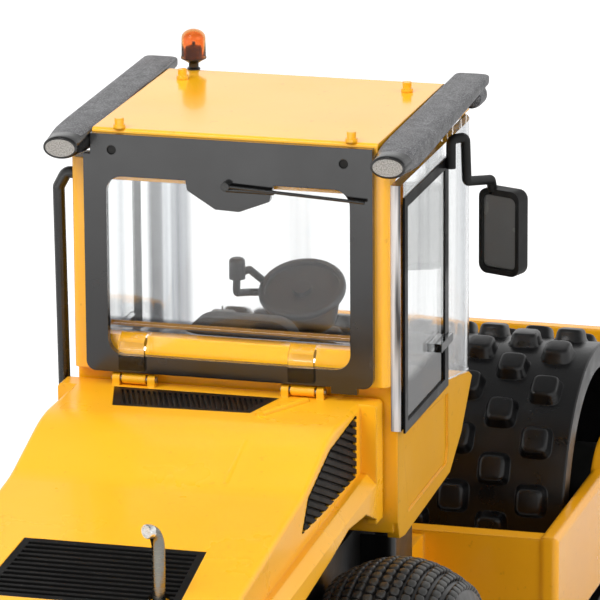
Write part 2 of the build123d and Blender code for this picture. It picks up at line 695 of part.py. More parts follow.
# black surround of the rear window, with a rounded opening and a dipped tab
screw_places = (surround_x - screw_spread, surround_x + screw_spread)
screw_z = roof_z - 1.8
with BuildPart() as rear_surround:
    surround_z = (surround_bottom_z, roof_z - 0.35)
    with BuildSketch(Plane.XZ.offset(-post_y[0])):
        with Locations((surround_x, sum(surround_z) / 2)):
            Rectangle(2 * surround_half_width, surround_z[1] - surround_z[0])
        with Locations((surround_x, (window_bottom_z + window_top_z) / 2)):
            RectangleRounded(2 * window_half_width, window_top_z - window_bottom_z, 1.5,
                             mode=Mode.SUBTRACT)
        with BuildLine():
            Polyline((-4.4, window_top_z + 0.4), (-4.2, window_top_z - 0.9),
                     (-1.6, window_top_z - 2.5), (0.6, window_top_z - 2.6),
                     (3.4, window_top_z - 1.5), (3.9, window_top_z + 0.4), close=True)
        make_face()
    extrude(amount=surround_plate)
    # notches under the roof rails
    for _, side in SIDES:
        add_box(sorted((side * roof_half_width, side * (roof_half_width + 2.0))),
                (cab_rear_y - 0.1, post_y[0] + 0.1),
                (rail_z - rail_height / 2 - running_gap, roof_z), Mode.SUBTRACT)
    fillet(rear_surround.edges().filter_by(Axis.Y).filter_by(
        lambda e: abs(abs(e.center().X - surround_x) - surround_half_width) < 0.01
        and e.center().Z < window_bottom_z), 0.9)
    with Locations((10.2, post_y[0] - surround_plate / 2, surround_z[0] - 0.25)):
        Box(2.4, surround_plate, 0.7)
    for x in screw_places:
        add_rod((x, post_y[0], screw_z), (x, cab_rear_y - 0.5, screw_z), screw_radius, Mode.SUBTRACT)
        add_rod((x, cab_rear_y + 0.3, screw_z), (x, cab_rear_y - 0.5, screw_z), screw_head,
                Mode.SUBTRACT)
save(rear_surround.part, "rear_window_surround")

with BuildPart() as surround_screws:
    for x in screw_places:
        add_rod((x, post_y[0], screw_z), (x, cab_rear_y + 0.15, screw_z), screw_radius)
        add_rod((x, cab_rear_y + 0.3, screw_z), (x, cab_rear_y + 0.1, screw_z), screw_head - seat_gap)
save(surround_screws.part, "surround_screws")

with BuildPart() as rear_glass:
    add_box((post_inner_x[-1] + seat_gap, post_inner_x[1] - seat_gap),
            (post_y[0], post_y[0] + glass_plate), (window_bottom_z - 0.3, roof_bottom_z - 1.1))
    # moulded rail along the foot of the pane, inside the opening of the surround
    rail_half = window_half_width - seat_gap - 0.1
    rail_at = (post_y[0] + 0.1, window_bottom_z + 2.6)
    add_rod((surround_x - rail_half, *rail_at), (surround_x + rail_half, *rail_at), pane_rail_radius)
    # two tabs that reach down over the surround to the hood's hinges
    for tab_x in (hood_x - hinge_spread, hood_x + hinge_spread):
        add_slab(((post_y[0], window_bottom_z + 2.0), (cab_rear_y - tab_plate, window_bottom_z + 1.4),
                  (cab_rear_y - tab_plate, surround_bottom_z + 0.3), (cab_rear_y, surround_bottom_z + 0.3),
                  (cab_rear_y, window_bottom_z + 0.6), (post_y[0], window_bottom_z + 1.2)),
                 tab_x - tab_half, tab_x + tab_half)
save(rear_glass.part, "rear_window_glass")

# side windows and the curved windscreen
glass_outer_x = cab_half_width + side_glass_plate
glass_top_z = roof_bottom_z - 1.1
glass_back_y = {-1: post_y[1] + seat_gap, 1: post_y[0] + 0.8}
with BuildPart() as side_glass:
    for _, side in SIDES:
        add_box(sorted((side * cab_half_width, side * glass_outer_x)),
                (glass_back_y[side], door_front_y - seat_gap), (glass_bottom_z, glass_top_z))
save(side_glass.part, "side_windows")

# black frames printed round the door windows: a ring on each pane with a pull handle
with BuildPart() as door_frames:
    for _, side in SIDES:
        ring_x = sorted((side * glass_outer_x, side * (glass_outer_x + 0.2)))
        back_y = glass_back_y[side] + 0.9
        add_box(ring_x, (back_y, door_front_y - seat_gap), (glass_bottom_z - 0.4, door_bar_z + 0.5))
        add_box(ring_x, (back_y + 1.0, door_front_y - 1.3),
                (glass_bottom_z + 0.5, door_bar_z - 0.5), Mode.SUBTRACT)
        # pull handle across the front edge
        add_box(sorted((side * (glass_outer_x + 0.2), side * (glass_outer_x + 0.7))),
                (door_front_y - 4.6, door_front_y - 0.4), (handle_z, handle_z + 0.8))
        add_box(ring_x, (door_front_y - 4.6, door_front_y - 0.4), (handle_z, handle_z + 0.8))
save(door_frames.part, "door_frames")

with BuildPart() as windscreen:
    with BuildSketch(Plane.XY.offset(glass_nose_z - 1.0)):
        with BuildLine():
            FilletPolyline(
                (-glass_outer_x, door_front_y), (-glass_outer_x, cab_front_y),
                (glass_outer_x, cab_front_y), (glass_outer_x, door_front_y),
                radius=windscreen_corner,
            )
            FilletPolyline(
                (-cab_half_width, door_front_y), (-cab_half_width, cab_front_y - side_glass_plate),
                (cab_half_width, cab_front_y - side_glass_plate), (cab_half_width, door_front_y),
                radius=windscreen_corner - side_glass_plate,
            )
            Line((-glass_outer_x, door_front_y), (-cab_half_width, door_front_y))
            Line((glass_outer_x, door_front_y), (cab_half_width, door_front_y))
        make_face()
    extrude(amount=glass_top_z - glass_nose_z + 1.0)
    add_slab((
        (door_front_y - 1.0, glass_nose_z - 2.0),
        (door_front_y - 1.0, glass_bottom_z),
        (door_front_y, glass_bottom_z),
        (cab_front_y + 1.0, glass_nose_z),
        (cab_front_y + 1.0, glass_nose_z - 2.0),
    ), -glass_outer_x - 1, glass_outer_x + 1, Mode.SUBTRACT)
save(windscreen.part, "windscreen")

# ---------------------------------------------------------------- roof furniture
rail_rear_y = cab_rear_y - 3.0
rail_front_y = rail_rear_y + roof_rail_length
lamp_z = rail_z + rail_rise - lamp_drop
lamp_faces = [Plane(origin=(side * rail_x, rail_rear_y, rail_z), x_dir=(1, 0, 0), z_dir=(0, -1, 0))
              for _, side in SIDES]
for side_name, side in SIDES:
    with BuildPart() as roof_rail:
        with BuildSketch(Plane(origin=(side * rail_x, rail_rear_y + 2.4, rail_z),
                               x_dir=(1, 0, 0), z_dir=(0, 1, 0))):
            RectangleRounded(rail_width, rail_height, 0.55)
        with BuildSketch(Plane(origin=(side * rail_x, rail_front_y, rail_z + rail_rise),
                               x_dir=(1, 0, 0), z_dir=(0, 1, 0))):
            RectangleRounded(rail_width - 0.4, rail_tip_height, 0.3)
        loft()
        # drum-like nose that carries the rear lamp
        with BuildSketch(lamp_faces[(side + 1) // 2]):
            Ellipse(lamp_half_width, rail_height / 2)
        extrude(amount=-3.2)
        with BuildSketch(lamp_faces[(side + 1) // 2]):
            Ellipse(lamp_half_width - 0.28, rail_height / 2 - 0.26)
        extrude(amount=-lamp_inset, mode=Mode.SUBTRACT)
        # housing of the front lamp under the end
        lamp_x = side * (rail_x + 0.4)
        add_rod((lamp_x, rail_front_y - 2.4, lamp_z), (lamp_x, rail_front_y - 0.1, lamp_z), lamp_radius)
    save(roof_rail.part, f"roof_rail_{side_name}")

with BuildPart() as lamp_lenses:
    for _, side in SIDES:
        with BuildSketch(lamp_faces[(side + 1) // 2]) as lens:
            Ellipse(lamp_half_width - 0.28, rail_height / 2 - 0.26)
        extrude(lens.sketch, amount=-lamp_inset)
        lamp_x = side * (rail_x + 0.4)
        add_rod((lamp_x, rail_front_y - 0.1, lamp_z), (lamp_x, rail_front_y + 0.2, lamp_z),
                lamp_radius - 0.15)
save(lamp_lenses.part, "work_lamp_lenses")

bolt_places = [(side * 10.73, cab_rear_y + y, roof_z) for _, side in SIDES for y in (1.0, 20.7)]
with BuildPart() as roof_bolts:
    for x, y, z in bolt_places:
        add_rod((x, y, z), (x, y, z + 0.35), 0.55)
        add_rod((x, y, z + 0.35), (x, y, z + 0.95), 0.42)
save(roof_bolts.part, "roof_bolts")

beacon_place = (-roof_half_width + 2.35, cab_rear_y + 24.8)
with BuildPart() as beacon_base:
    add_rod((*beacon_place, roof_z), (*beacon_place, roof_z + 0.35), beacon_radius - 0.55)
    add_rod((*beacon_place, roof_z + 0.35), (*beacon_place, roof_z + beacon_stand),
            beacon_radius - 0.25)
    add_rod((*beacon_place, roof_z + beacon_stand), (*beacon_place, roof_z + beacon_height - 1.6),
            beacon_radius - 0.5)
save(beacon_base.part, "beacon_base")

with BuildPart() as beacon_lens:
    add_rod((*beacon_place, roof_z + beacon_stand), (*beacon_place, roof_z + beacon_height),
            beacon_radius)
    fillet(beacon_lens.faces().sort_by(Axis.Z)[-1].edges(), 0.75)
    fillet(beacon_lens.faces().sort_by(Axis.Z)[0].edges(), 0.2)
    add_rod((*beacon_place, roof_z + beacon_stand), (*beacon_place, roof_z + beacon_height - 1.1),
            beacon_radius - 0.35, Mode.SUBTRACT)
save(beacon_lens.part, "beacon_lens")

with BuildPart() as rear_wiper:
    pivot = Vector(-0.5, cab_rear_y - 0.1, window_top_z - 0.2)
    tip = Vector(12.3, cab_rear_y - 0.5, window_top_z - 0.9)
    add_rod((pivot.X, cab_rear_y, pivot.Z), (pivot.X, cab_rear_y - 0.7, pivot.Z), 0.4)
    add_rod((pivot.X, cab_rear_y - 0.5, pivot.Z), (tip.X, tip.Y, tip.Z), 0.15)
    add_rod((pivot.X + 0.1, cab_rear_y - 0.5, pivot.Z - 0.35), (4.0, cab_rear_y - 0.5, tip.Z + 0.35), 0.15)
save(rear_wiper.part, "rear_wiper")

with BuildPart() as handrail:
    high_x, low_x = post_outer_x[-1], min(post_outer_x[-1], -panel_half_width)
    rail_at = low_x - handrail_reach
    high_y, low_y = post_y[0] + 1.3, post_y[0] + 2.2
    add_tube_path((
        (high_x, high_y, roof_bottom_z - 1.8),
        (high_x - handrail_foot, high_y, roof_bottom_z - 1.8),
        (rail_at, high_y, roof_bottom_z - 3.2),
        (rail_at, low_y, cab_floor_z + 5.6),
        (low_x - handrail_foot, low_y, cab_floor_z + 4.2),
        (low_x, low_y, cab_floor_z + 4.2),
    ), 0.7, handrail_radius)
save(handrail.part, "handrail_left")

# right-hand mirror on a bent arm
mirror_x = glass_outer_x + mirror_reach
mirror_y = cab_rear_y + 24.0
mirror_z = roof_z - 13.5
frame_face_x = glass_outer_x + 0.2
mirror_turn = radians(mirror_yaw)
mirror_plane = Plane(origin=(mirror_x, mirror_y, mirror_z),
                     x_dir=(cos(mirror_turn), -sin(mirror_turn), 0),
                     z_dir=(-sin(mirror_turn), -cos(mirror_turn), 0))
arm_radius = 0.45
with BuildPart() as mirror_arm:
    add_tube_path((
        (frame_face_x + arm_radius, 2.4, door_bar_z - 0.4),
        (frame_face_x + arm_radius, 2.4, glass_top_z + 0.5),
        (frame_face_x + 1.5, 3.6, glass_top_z + 0.5),
        (frame_face_x + 1.5, 4.2, glass_top_z - 3.8),
        (mirror_x - 1.0, mirror_y - 0.6, glass_top_z - 4.6),
        (mirror_x - 1.0, mirror_y + 0.1, mirror_z + mirror_height / 2 - 0.2),
    ), 0.5, arm_radius)
save(mirror_arm.part, "mirror_arm")

with BuildPart() as mirror_housing:
    with BuildSketch(mirror_plane.offset(-1.2)):
        RectangleRounded(mirror_width, mirror_height, 0.9)
    extrude(amount=1.9)
    fillet(mirror_housing.faces().sort_by(Axis.Y)[-1].edges(), 0.5)
    with BuildSketch(mirror_plane.offset(0.4)):
        RectangleRounded(mirror_width - 0.8, mirror_height - 1.2, 0.6)
    extrude(amount=0.4, mode=Mode.SUBTRACT)
    with Locations((mirror_x - 1.0, mirror_y + 0.1, mirror_z + mirror_height / 2)):
        Cylinder(arm_radius + 0.02, 1.2, mode=Mode.SUBTRACT)
save(mirror_housing.part, "mirror_housing")

with BuildPart() as mirror_glass:
    with BuildSketch(mirror_plane.offset(0.4)):
        RectangleRounded(mirror_width - 0.84, mirror_height - 1.24, 0.58)
    extrude(amount=0.1)
save(mirror_glass.part, "mirror_glass")

# ---------------------------------------------------------------- cab interior
deck_z = cab_floor_z + floor_plate
with BuildPart() as seat_base:
    add_box((-3.6, 2.2), (-7.6, -2.4), (deck_z, deck_z + 1.0))
    add_box((-2.6, 1.2), (-6.8, -3.2), (deck_z + 1.0, deck_z + 4.0))
save(seat_base.part, "seat_base")

with BuildPart() as seat:
    add_box((-5.6, 4.2), (-9.0, -1.4), (deck_z + 4.0, deck_z + 6.6))
    add_box((-5.9, 4.5), (-10.4, -8.2), (deck_z + 5.0, deck_z + 17.0))
    fillet(seat.edges().filter_by(Axis.Y).sort_by(Axis.Z)[-2:], 2.4)
    fillet(seat.edges().filter_by(Axis.Z).sort_by(Axis.Y)[-2:], 1.2)
save(seat.part, "driver_seat")

with BuildPart() as control_box:
    add_box((6.6, 11.6), (-8.0, 5.0), (deck_z, deck_z + 9.4))
    fillet(control_box.faces().sort_by(Axis.Z)[-1].edges(), 0.8)
save(control_box.part, "control_box")

wheel_centre = Vector(0.9, cab_rear_y + 20.0, roof_z - 19.2)
wheel_tilt = 27
wheel_plane = Plane(origin=wheel_centre, x_dir=(1, 0, 0),
                    z_dir=(0, -sin(radians(wheel_tilt)), cos(radians(wheel_tilt))))
with BuildPart() as steering_column:
    column_foot = (wheel_centre.X, wheel_centre.Y - 0.6, deck_z + 0.6)
    add_box((wheel_centre.X - 2.2, wheel_centre.X + 2.2), (wheel_centre.Y - 2.2, wheel_centre.Y + 0.8),
            (deck_z, deck_z + 1.0))
    add_rod(column_foot, tuple(wheel_plane.offset(-3.0).origin), 1.2)
    # bowl-shaped instrument pod under the wheel
    with BuildSketch(wheel_plane.offset(-3.6)):
        with Locations((0.7, 0)):
            Circle(2.1)
    with BuildSketch(wheel_plane.offset(-0.5)):
        Circle(3.6)
    loft()
save(steering_column.part, "steering_column")

with BuildPart() as steering_wheel:
    with BuildSketch(wheel_plane.offset(-0.4)):
        Circle(4.1)
    extrude(amount=0.8)
    fillet(steering_wheel.edges(), 0.3)
    with BuildSketch(wheel_plane.offset(-0.05)):
        Circle(3.5)
    extrude(amount=0.6, mode=Mode.SUBTRACT)
    with BuildSketch(wheel_plane.offset(-0.1)):
        Circle(0.9)
    extrude(amount=0.5)
save(steering_wheel.part, "steering_wheel")

with BuildPart() as travel_lever:
    knob = Vector(-4.5, cab_rear_y + 17.0, roof_z - 16.7)
    foot = wheel_plane.from_local_coords((-3.6, 0.3, -0.9))
    add_tube_path((
        (foot.X, foot.Y, foot.Z), (foot.X - 1.6, foot.Y - 0.8, foot.Z + 0.1),
        (knob.X - 0.1, knob.Y, knob.Z - 2.4), (knob.X, knob.Y, knob.Z),
    ), 0.5, 0.35)
    # upper arm from the knob's collar to the rim of the wheel
    rim = wheel_plane.from_local_coords((-3.5, 1.3, -0.7))
    add_tube_path((
        (knob.X, knob.Y, knob.Z - 0.6), (knob.X + 1.0, knob.Y + 0.6, knob.Z - 0.2),
        (rim.X - 0.5, rim.Y - 0.2, rim.Z + 0.2), (rim.X, rim.Y, rim.Z - 0.3),
    ), 0.3, 0.35)
    with Locations(knob):
        Cylinder(0.75, 2.0)
    fillet(travel_lever.edges().filter_by(GeomType.CIRCLE).sort_by(Axis.Z)[-1], 0.4)
save(travel_lever.part, "travel_lever")

# ================================================================ engine hood
hood_back_y = tail_y + lamp_stand
hood_upper_half = hood_half_width - hood_shoulder
hood_slope = atan2(hood_back_drop - hood_bends[1][1], hood_bends[1][0] - hood_back_y)


def hood_top_at(y):
    """Height of the sloping rear part of the hood's top."""
    return hood_top_z - hood_bends[1][1] - (hood_bends[1][0] - y) * tan(hood_slope)


def hood_upper(inset, front_y, lower):
    """Upper body of the hood, its walls moved inwards by inset."""
    half = hood_upper_half - inset
    back = hood_back_y + hood_back_step + inset
    bends = [(y, hood_top_z - drop - inset) for y, drop in hood_bends]
    with BuildPart() as body:
        add_slab((*lower, (front_y, hood_top_z - inset), *bends, (back, hood_top_at(back) - inset)),
                 hood_x - half, hood_x + half)
        for (y, z), radius in zip(bends, hood_bend_radii):
            fillet(body.edges().filter_by(Axis.X).filter_by(
                lambda e: abs(e.center().Y - y) < 0.01 and abs(e.center().Z - z) < 0.01), radius)
        fillet(body.edges().filter_by(Axis.Z).filter_by(
            lambda e: abs(e.center().Y - back) < 0.01), hood_corner - inset)
        if not inset:
            shoulders = body.edges().filter_by(
                lambda e: e.center().Z > hood_arch_z + 1 and abs(e.tangent_at(0.5).Z) < 0.6
                and (abs(abs(e.center().X - hood_x) - half) < 0.01
                     or e.center().Y < hood_back_y + 6))
            fillet(shoulders, hood_round)
    return body.part


def hood_skirt(inset, front_y, lower):
    """Wider lower band of the hood with a bevelled ledge along its top."""
    half = hood_half_width - inset
    back = hood_back_y + inset
    ledge_back_z = hood_ledge_z - hood_ledge_fall
    with BuildPart() as band:
        add_slab((*lower, (front_y, hood_ledge_z - inset), (back, ledge_back_z - inset)),
                 hood_x - half, hood_x + half)
        fillet(band.edges().filter_by(Axis.Z).filter_by(
            lambda e: abs(e.center().Y - back) < 0.01), hood_corner - inset)
        if not inset:
            ledge = band.faces().filter_by(lambda f: f.normal_at().Z > 0.9).sort_by(Axis.Z)[-1]
            chamfer(ledge.edges().filter_by(lambda e: abs(e.center().Y - front_y) > 0.01),
                    hood_ledge_bevel)
    return band.part


def grille_prism(outline, plane, margin, low, high):
    """A grille's outline, drawn in by a margin, from one level to another above its plane."""
    with BuildSketch(plane.offset(low)) as field:
        with BuildLine():
            Polyline(*outline, close=True)
        make_face()
        if margin:
            offset(amount=-margin, kind=Kind.INTERSECTION)
    with BuildPart() as prism:
        extrude(field.sketch, amount=high - low)
    return prism.part


# outlines of the grilles, in each grille's own plane
side_grille_outline = ((-17.0, 39.7), (-25.8, 39.1), (-33.0, 36.9), (-35.0, 34.3), (-28.2, 34.1),
                       (-17.0, 34.1))
top_grille_outline = ((-11.2, -15.2), (4.3, -15.2), (3.0, -20.4), (-9.6, -21.0))
ridge_outline = ((3.6, -20.9), (4.5, -20.9), (7.2, -15.7), (6.3, -15.7))
top_grille_plane = Plane.XY.offset(hood_top_z)
rear_grille_mid = sum(rear_grille_y) / 2
rear_grille_plane = Plane(origin=(hood_x, rear_grille_mid, hood_top_at(rear_grille_mid)),
                          x_dir=(1, 0, 0), z_dir=(0, -sin(hood_slope), cos(hood_slope)))
rear_grille_reach = (rear_grille_y[1] - rear_grille_y[0]) / 2 / cos(hood_slope)
rear_grille_outline = ((-rear_grille_half, -rear_grille_reach), (rear_grille_half, -rear_grille_reach),
                       (rear_grille_half - 0.6, rear_grille_reach),
                       (-rear_grille_half + 0.6, rear_grille_reach))


def side_grille_plane(side):
    """Plane of the hood's upper side face, local x along Y and local y along Z."""
    x = hood_x + side * hood_upper_half
    return Plane(origin=(x, 0, 0), x_dir=(0, 1, 0), z_dir=(1, 0, 0))


def side_grille_prism(side, margin, low, high):
    """Side grille between two levels measured outwards from the side face."""
    near, far = sorted((side * low, side * high))
    return grille_prism(side_grille_outline, side_grille_plane(side), margin, near, far)


arch_line = [(arch_back_y, hood_tail_z + 1.7), (axle_y - 10.0, hood_arch_z - 0.9),
             (axle_y - 4.0, hood_arch_z), (axle_y + 2.0, hood_arch_z - 0.5)]
form_front_y = hood_front_y - hood_flange / 2
lower_line = [*arch_line, (form_front_y, hood_foot_z)]
cavity_front_y = hood_front_y - hood_front_wall
cavity_z = hood_tail_z - 1.0
hinge_places = (hood_x - hinge_spread, hood_x + hinge_spread)
ear_gap = hinge_width / 2 + side_gap
exhaust_foot = (*exhaust_place, hood_top_at(exhaust_place[1]) - hood_wall)

upper_form = hood_upper(0.0, form_front_y, [(hood_back_y + hood_back_step, hood_tail_z), *lower_line])
skirt_form = hood_skirt(0.0, form_front_y, [(hood_back_y, hood_tail_z), *lower_line])
upper_cavity = hood_upper(hood_wall, cavity_front_y, [
    (hood_back_y + hood_back_step + hood_wall, cavity_z), (cavity_front_y, cavity_z)])
skirt_cavity = hood_skirt(hood_wall, cavity_front_y, [
    (hood_back_y + hood_wall, cavity_z), (cavity_front_y, cavity_z)])
grille_recesses = [side_grille_prism(side, 0.0, -grille_recess, 0.5) for _, side in SIDES]
grille_recesses.append(grille_prism(top_grille_outline, top_grille_plane, 0.0, -grille_recess, 0.5))
grille_recesses.append(grille_prism(rear_grille_outline, rear_grille_plane, 0.0, -grille_recess, 0.5))

with BuildPart() as hood:
    # full-height band that closes the hood against the cab
    add_box((hood_x - hood_half_width, hood_x + hood_half_width),
            (hood_front_y - hood_flange, hood_front_y), (hood_foot_z, hood_top_z))
    fillet(hood.edges().filter_by(Axis.Y).group_by(Axis.Z)[-1], hood_round)
    add([upper_form, skirt_form])
    # raised rim beside the top grille and the crease that runs on from it
    with BuildSketch(Plane.XY.offset(hood_top_z - 0.4)) as ridge:
        with BuildLine():
            Polyline(*ridge_outline, close=True)
        make_face()
    extrude(ridge.sketch, amount=0.4 + ridge_height)
    fillet(hood.edges().filter_by(lambda e: e.center().Z > hood_top_z + ridge_height - 0.01
                                  and e.length > 2), 0.25)
    add_rod((4.4, -26.5, hood_top_z - 0.92), (4.4, -33.0, hood_top_z - 2.97), 0.45)
    # cavity
    add([upper_cavity, skirt_cavity], mode=Mode.SUBTRACT)
    add_box((hood_x - hood_mouth_half, hood_x + hood_mouth_half),
            (cavity_front_y - 0.5, hood_front_y + 0.5), (cavity_z, hood_mouth_z), Mode.SUBTRACT)
    # recesses for the grilles and the tail lamps, hole for the exhaust
    add(grille_recesses, mode=Mode.SUBTRACT)
    add_rod(exhaust_foot, (*exhaust_place, hood_top_z), exhaust_radius, Mode.SUBTRACT)
    for _, side in SIDES:
        lamp_x = hood_x + side * tail_lamp_spread
        add_rod((lamp_x, hood_back_y, hood_tail_z + 1.7),
                (lamp_x, hood_back_y + grille_recess, hood_tail_z + 1.7), tail_lamp_radius,
                Mode.SUBTRACT)
    # two hinge ears beside each of the cab's lugs
    for hinge_x in hinge_places:
        for _, side in SIDES:
            ear = sorted((hinge_x + side * ear_gap, hinge_x + side * (ear_gap + hinge_ear)))
            add_box(ear, (hinge_y - hinge_eye_radius, hinge_y + hinge_eye_radius),
                    (hood_top_z - 0.3, hinge_z))
            add_rod((ear[0], hinge_y, hinge_z), (ear[1], hinge_y, hinge_z), hinge_eye_radius)
            add_rod((ear[0], hinge_y, hinge_z), (ear[1], hinge_y, hinge_z),
                    hinge_pin_radius + running_gap, Mode.SUBTRACT)
save(hood.part, "hood")

with BuildPart() as hinge_pins:
    reach = ear_gap + hinge_ear + 0.1
    for hinge_x in hinge_places:
        add_rod((hinge_x - reach, hinge_y, hinge_z), (hinge_x + reach, hinge_y, hinge_z),
                hinge_pin_radius)
save(hinge_pins.part, "hood_hinge_pins")

# grilles: a back plate with louvres, a mesh or slots, seated in the hood's recesses
grille_plates = []
for _, side in SIDES:
    plane = side_grille_plane(side)
    with BuildPart() as louvres:
        middle = side * (0.1 - grille_recess) / 2
        rows = [plane.from_local_coords((-26.0, hood_ledge_z + 2.7 + i * louvre_pitch, middle))
                for i in range(-9, 10)]
        with Locations(*[Location(spot, (-louvre_tilt, 0, 0)) for spot in rows]):
            Box(grille_recess + 0.1, 26.0, louvre_width)
        add(side_grille_prism(side, seat_gap, -grille_recess, 0.1), mode=Mode.INTERSECT)
    grille_plates.append(side_grille_prism(side, seat_gap, -grille_recess, grille_back - grille_recess))
    grille_plates.append(louvres.part)
with BuildPart() as side_grilles:
    add(grille_plates)
save(side_grilles.part, "hood_side_grilles")

top_field = grille_prism(top_grille_outline, top_grille_plane, mesh_margin, -mesh_depth, 0.2)
slit_places = [Location((-3.4 + i * slit_pitch, -18.2, hood_top_z), (0, 0, slit_turn))
               for i in range(-17, 18)]
with BuildPart() as mesh_holes:
    with Locations(*slit_places):
        Box(slit_width, 7.0, 2 * mesh_depth)
    add(top_field, mode=Mode.INTERSECT)
top_plate = grille_prism(top_grille_outline, top_grille_plane, seat_gap, -grille_recess, -seat_gap)
with BuildPart() as top_grille:
    add(top_plate)
    add(mesh_holes.part, mode=Mode.SUBTRACT)
save(top_grille.part, "hood_top_grille")

rear_field = grille_prism(rear_grille_outline, rear_grille_plane, mesh_margin, -mesh_depth, 0.2)
slot_rows = int(2 * rear_grille_reach / mesh_pitch)
slot_places = [rear_grille_plane.offset(0).location
               * Location((0, (i - slot_rows / 2) * mesh_pitch, 0)) for i in range(slot_rows + 1)]
with BuildPart() as slots:
    with Locations(*slot_places):
        Box(2 * rear_grille_half, mesh_hole, 2 * mesh_depth)
    add(rear_field, mode=Mode.INTERSECT)
rear_plate = grille_prism(rear_grille_outline, rear_grille_plane, seat_gap, -grille_recess, -seat_gap)
with BuildPart() as rear_grille:
    add(rear_plate)
    add(slots.part, mode=Mode.SUBTRACT)
    add_rod(exhaust_foot, (*exhaust_place, hood_top_z), exhaust_radius + 0.35, Mode.SUBTRACT)
save(rear_grille.part, "hood_rear_grille")

with BuildPart() as exhaust:
    foot = Vector(*exhaust_foot)
    elbow = foot + Vector(0, 0, exhaust_rise - 1.0)
    mouth = foot + Vector(-0.8, -0.3, exhaust_rise + hood_wall)
    add_tube_path((tuple(foot), tuple(elbow), tuple(mouth)), 1.2, exhaust_radius)
    add_rod(tuple(mouth), tuple(mouth + (elbow - mouth) * 0.5), exhaust_bore, Mode.SUBTRACT)
save(exhaust.part, "exhaust_pipe")

with BuildPart() as tail_lamps:
    for _, side in SIDES:
        lamp_x = hood_x + side * tail_lamp_spread
        add_rod((lamp_x, tail_y, hood_tail_z + 1.7),
                (lamp_x, hood_back_y + grille_recess, hood_tail_z + 1.7), tail_lamp_radius)
save(tail_lamps.part, "tail_lamps")
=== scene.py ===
"""Looks of the toy road roller: materials, small moulded detail, studio and camera."""
import json
from math import cos, hypot, pi, radians, sin

import bmesh
import bpy
from mathutils import Matrix, Vector


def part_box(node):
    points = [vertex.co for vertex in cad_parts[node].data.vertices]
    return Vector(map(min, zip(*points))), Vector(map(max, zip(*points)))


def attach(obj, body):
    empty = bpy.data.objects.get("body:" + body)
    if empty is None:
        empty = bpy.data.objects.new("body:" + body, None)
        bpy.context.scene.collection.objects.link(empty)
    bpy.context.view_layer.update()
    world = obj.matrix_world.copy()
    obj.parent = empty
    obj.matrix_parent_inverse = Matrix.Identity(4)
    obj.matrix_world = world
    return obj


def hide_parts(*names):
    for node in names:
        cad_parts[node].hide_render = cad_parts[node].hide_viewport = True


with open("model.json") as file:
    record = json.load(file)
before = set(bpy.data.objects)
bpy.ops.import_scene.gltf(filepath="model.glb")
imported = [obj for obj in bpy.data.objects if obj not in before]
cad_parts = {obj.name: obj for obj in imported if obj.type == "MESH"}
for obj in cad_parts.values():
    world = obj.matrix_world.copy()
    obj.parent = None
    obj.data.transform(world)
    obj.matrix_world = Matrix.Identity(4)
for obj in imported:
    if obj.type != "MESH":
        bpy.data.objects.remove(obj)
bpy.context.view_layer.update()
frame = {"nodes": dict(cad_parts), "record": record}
scene = bpy.context.scene
MM = 0.001
ACROSS, ALONG, UP = Vector((1, 0, 0)), Vector((0, 1, 0)), Vector((0, 0, 1))


# ---------------------------------------------------------------- camera
def build_camera():
    """Camera behind, above and to the right, looking at the cab through a long lens."""
    turn, lift, roll = radians(15.57), radians(15.50), radians(-0.38)
    back = Vector((sin(turn) * cos(lift), -cos(turn) * cos(lift), sin(lift)))
    right = Vector((cos(turn), sin(turn), 0.0))
    up = back.cross(right)
    right2 = right * cos(roll) + up * sin(roll)
    up2 = up * cos(roll) - right * sin(roll)
    place = Vector((0.0, -3.0, 50.0)) + back * 511.33 + right2 * 2.77 - up2 * 4.02
    camera_data = bpy.data.cameras.new("camera")
    camera_data.lens = 336.0
    camera_data.sensor_width = 36.0
    camera_data.clip_start = 0.01
    camera_data.clip_end = 50.0
    camera = bpy.data.objects.new("camera", camera_data)
    scene.collection.objects.link(camera)
    pose = Matrix((right2, up2, back)).transposed().to_4x4()
    pose.translation = place * MM
    camera.matrix_world = pose
    scene.camera = camera


build_camera()


# ---------------------------------------------------------------- materials
def rgb(r, g, b):
    """Linear colour from 8-bit display values."""
    def line(value):
        value /= 255.0
        return value / 12.92 if value <= 0.04045 else ((value + 0.055) / 1.055) ** 2.4
    return (line(r), line(g), line(b), 1.0)


WHITE = (1.0, 1.0, 1.0, 1.0)
CLEAR = (0.96, 0.97, 0.97, 1.0)
X, Y, Z = 0, 1, 2


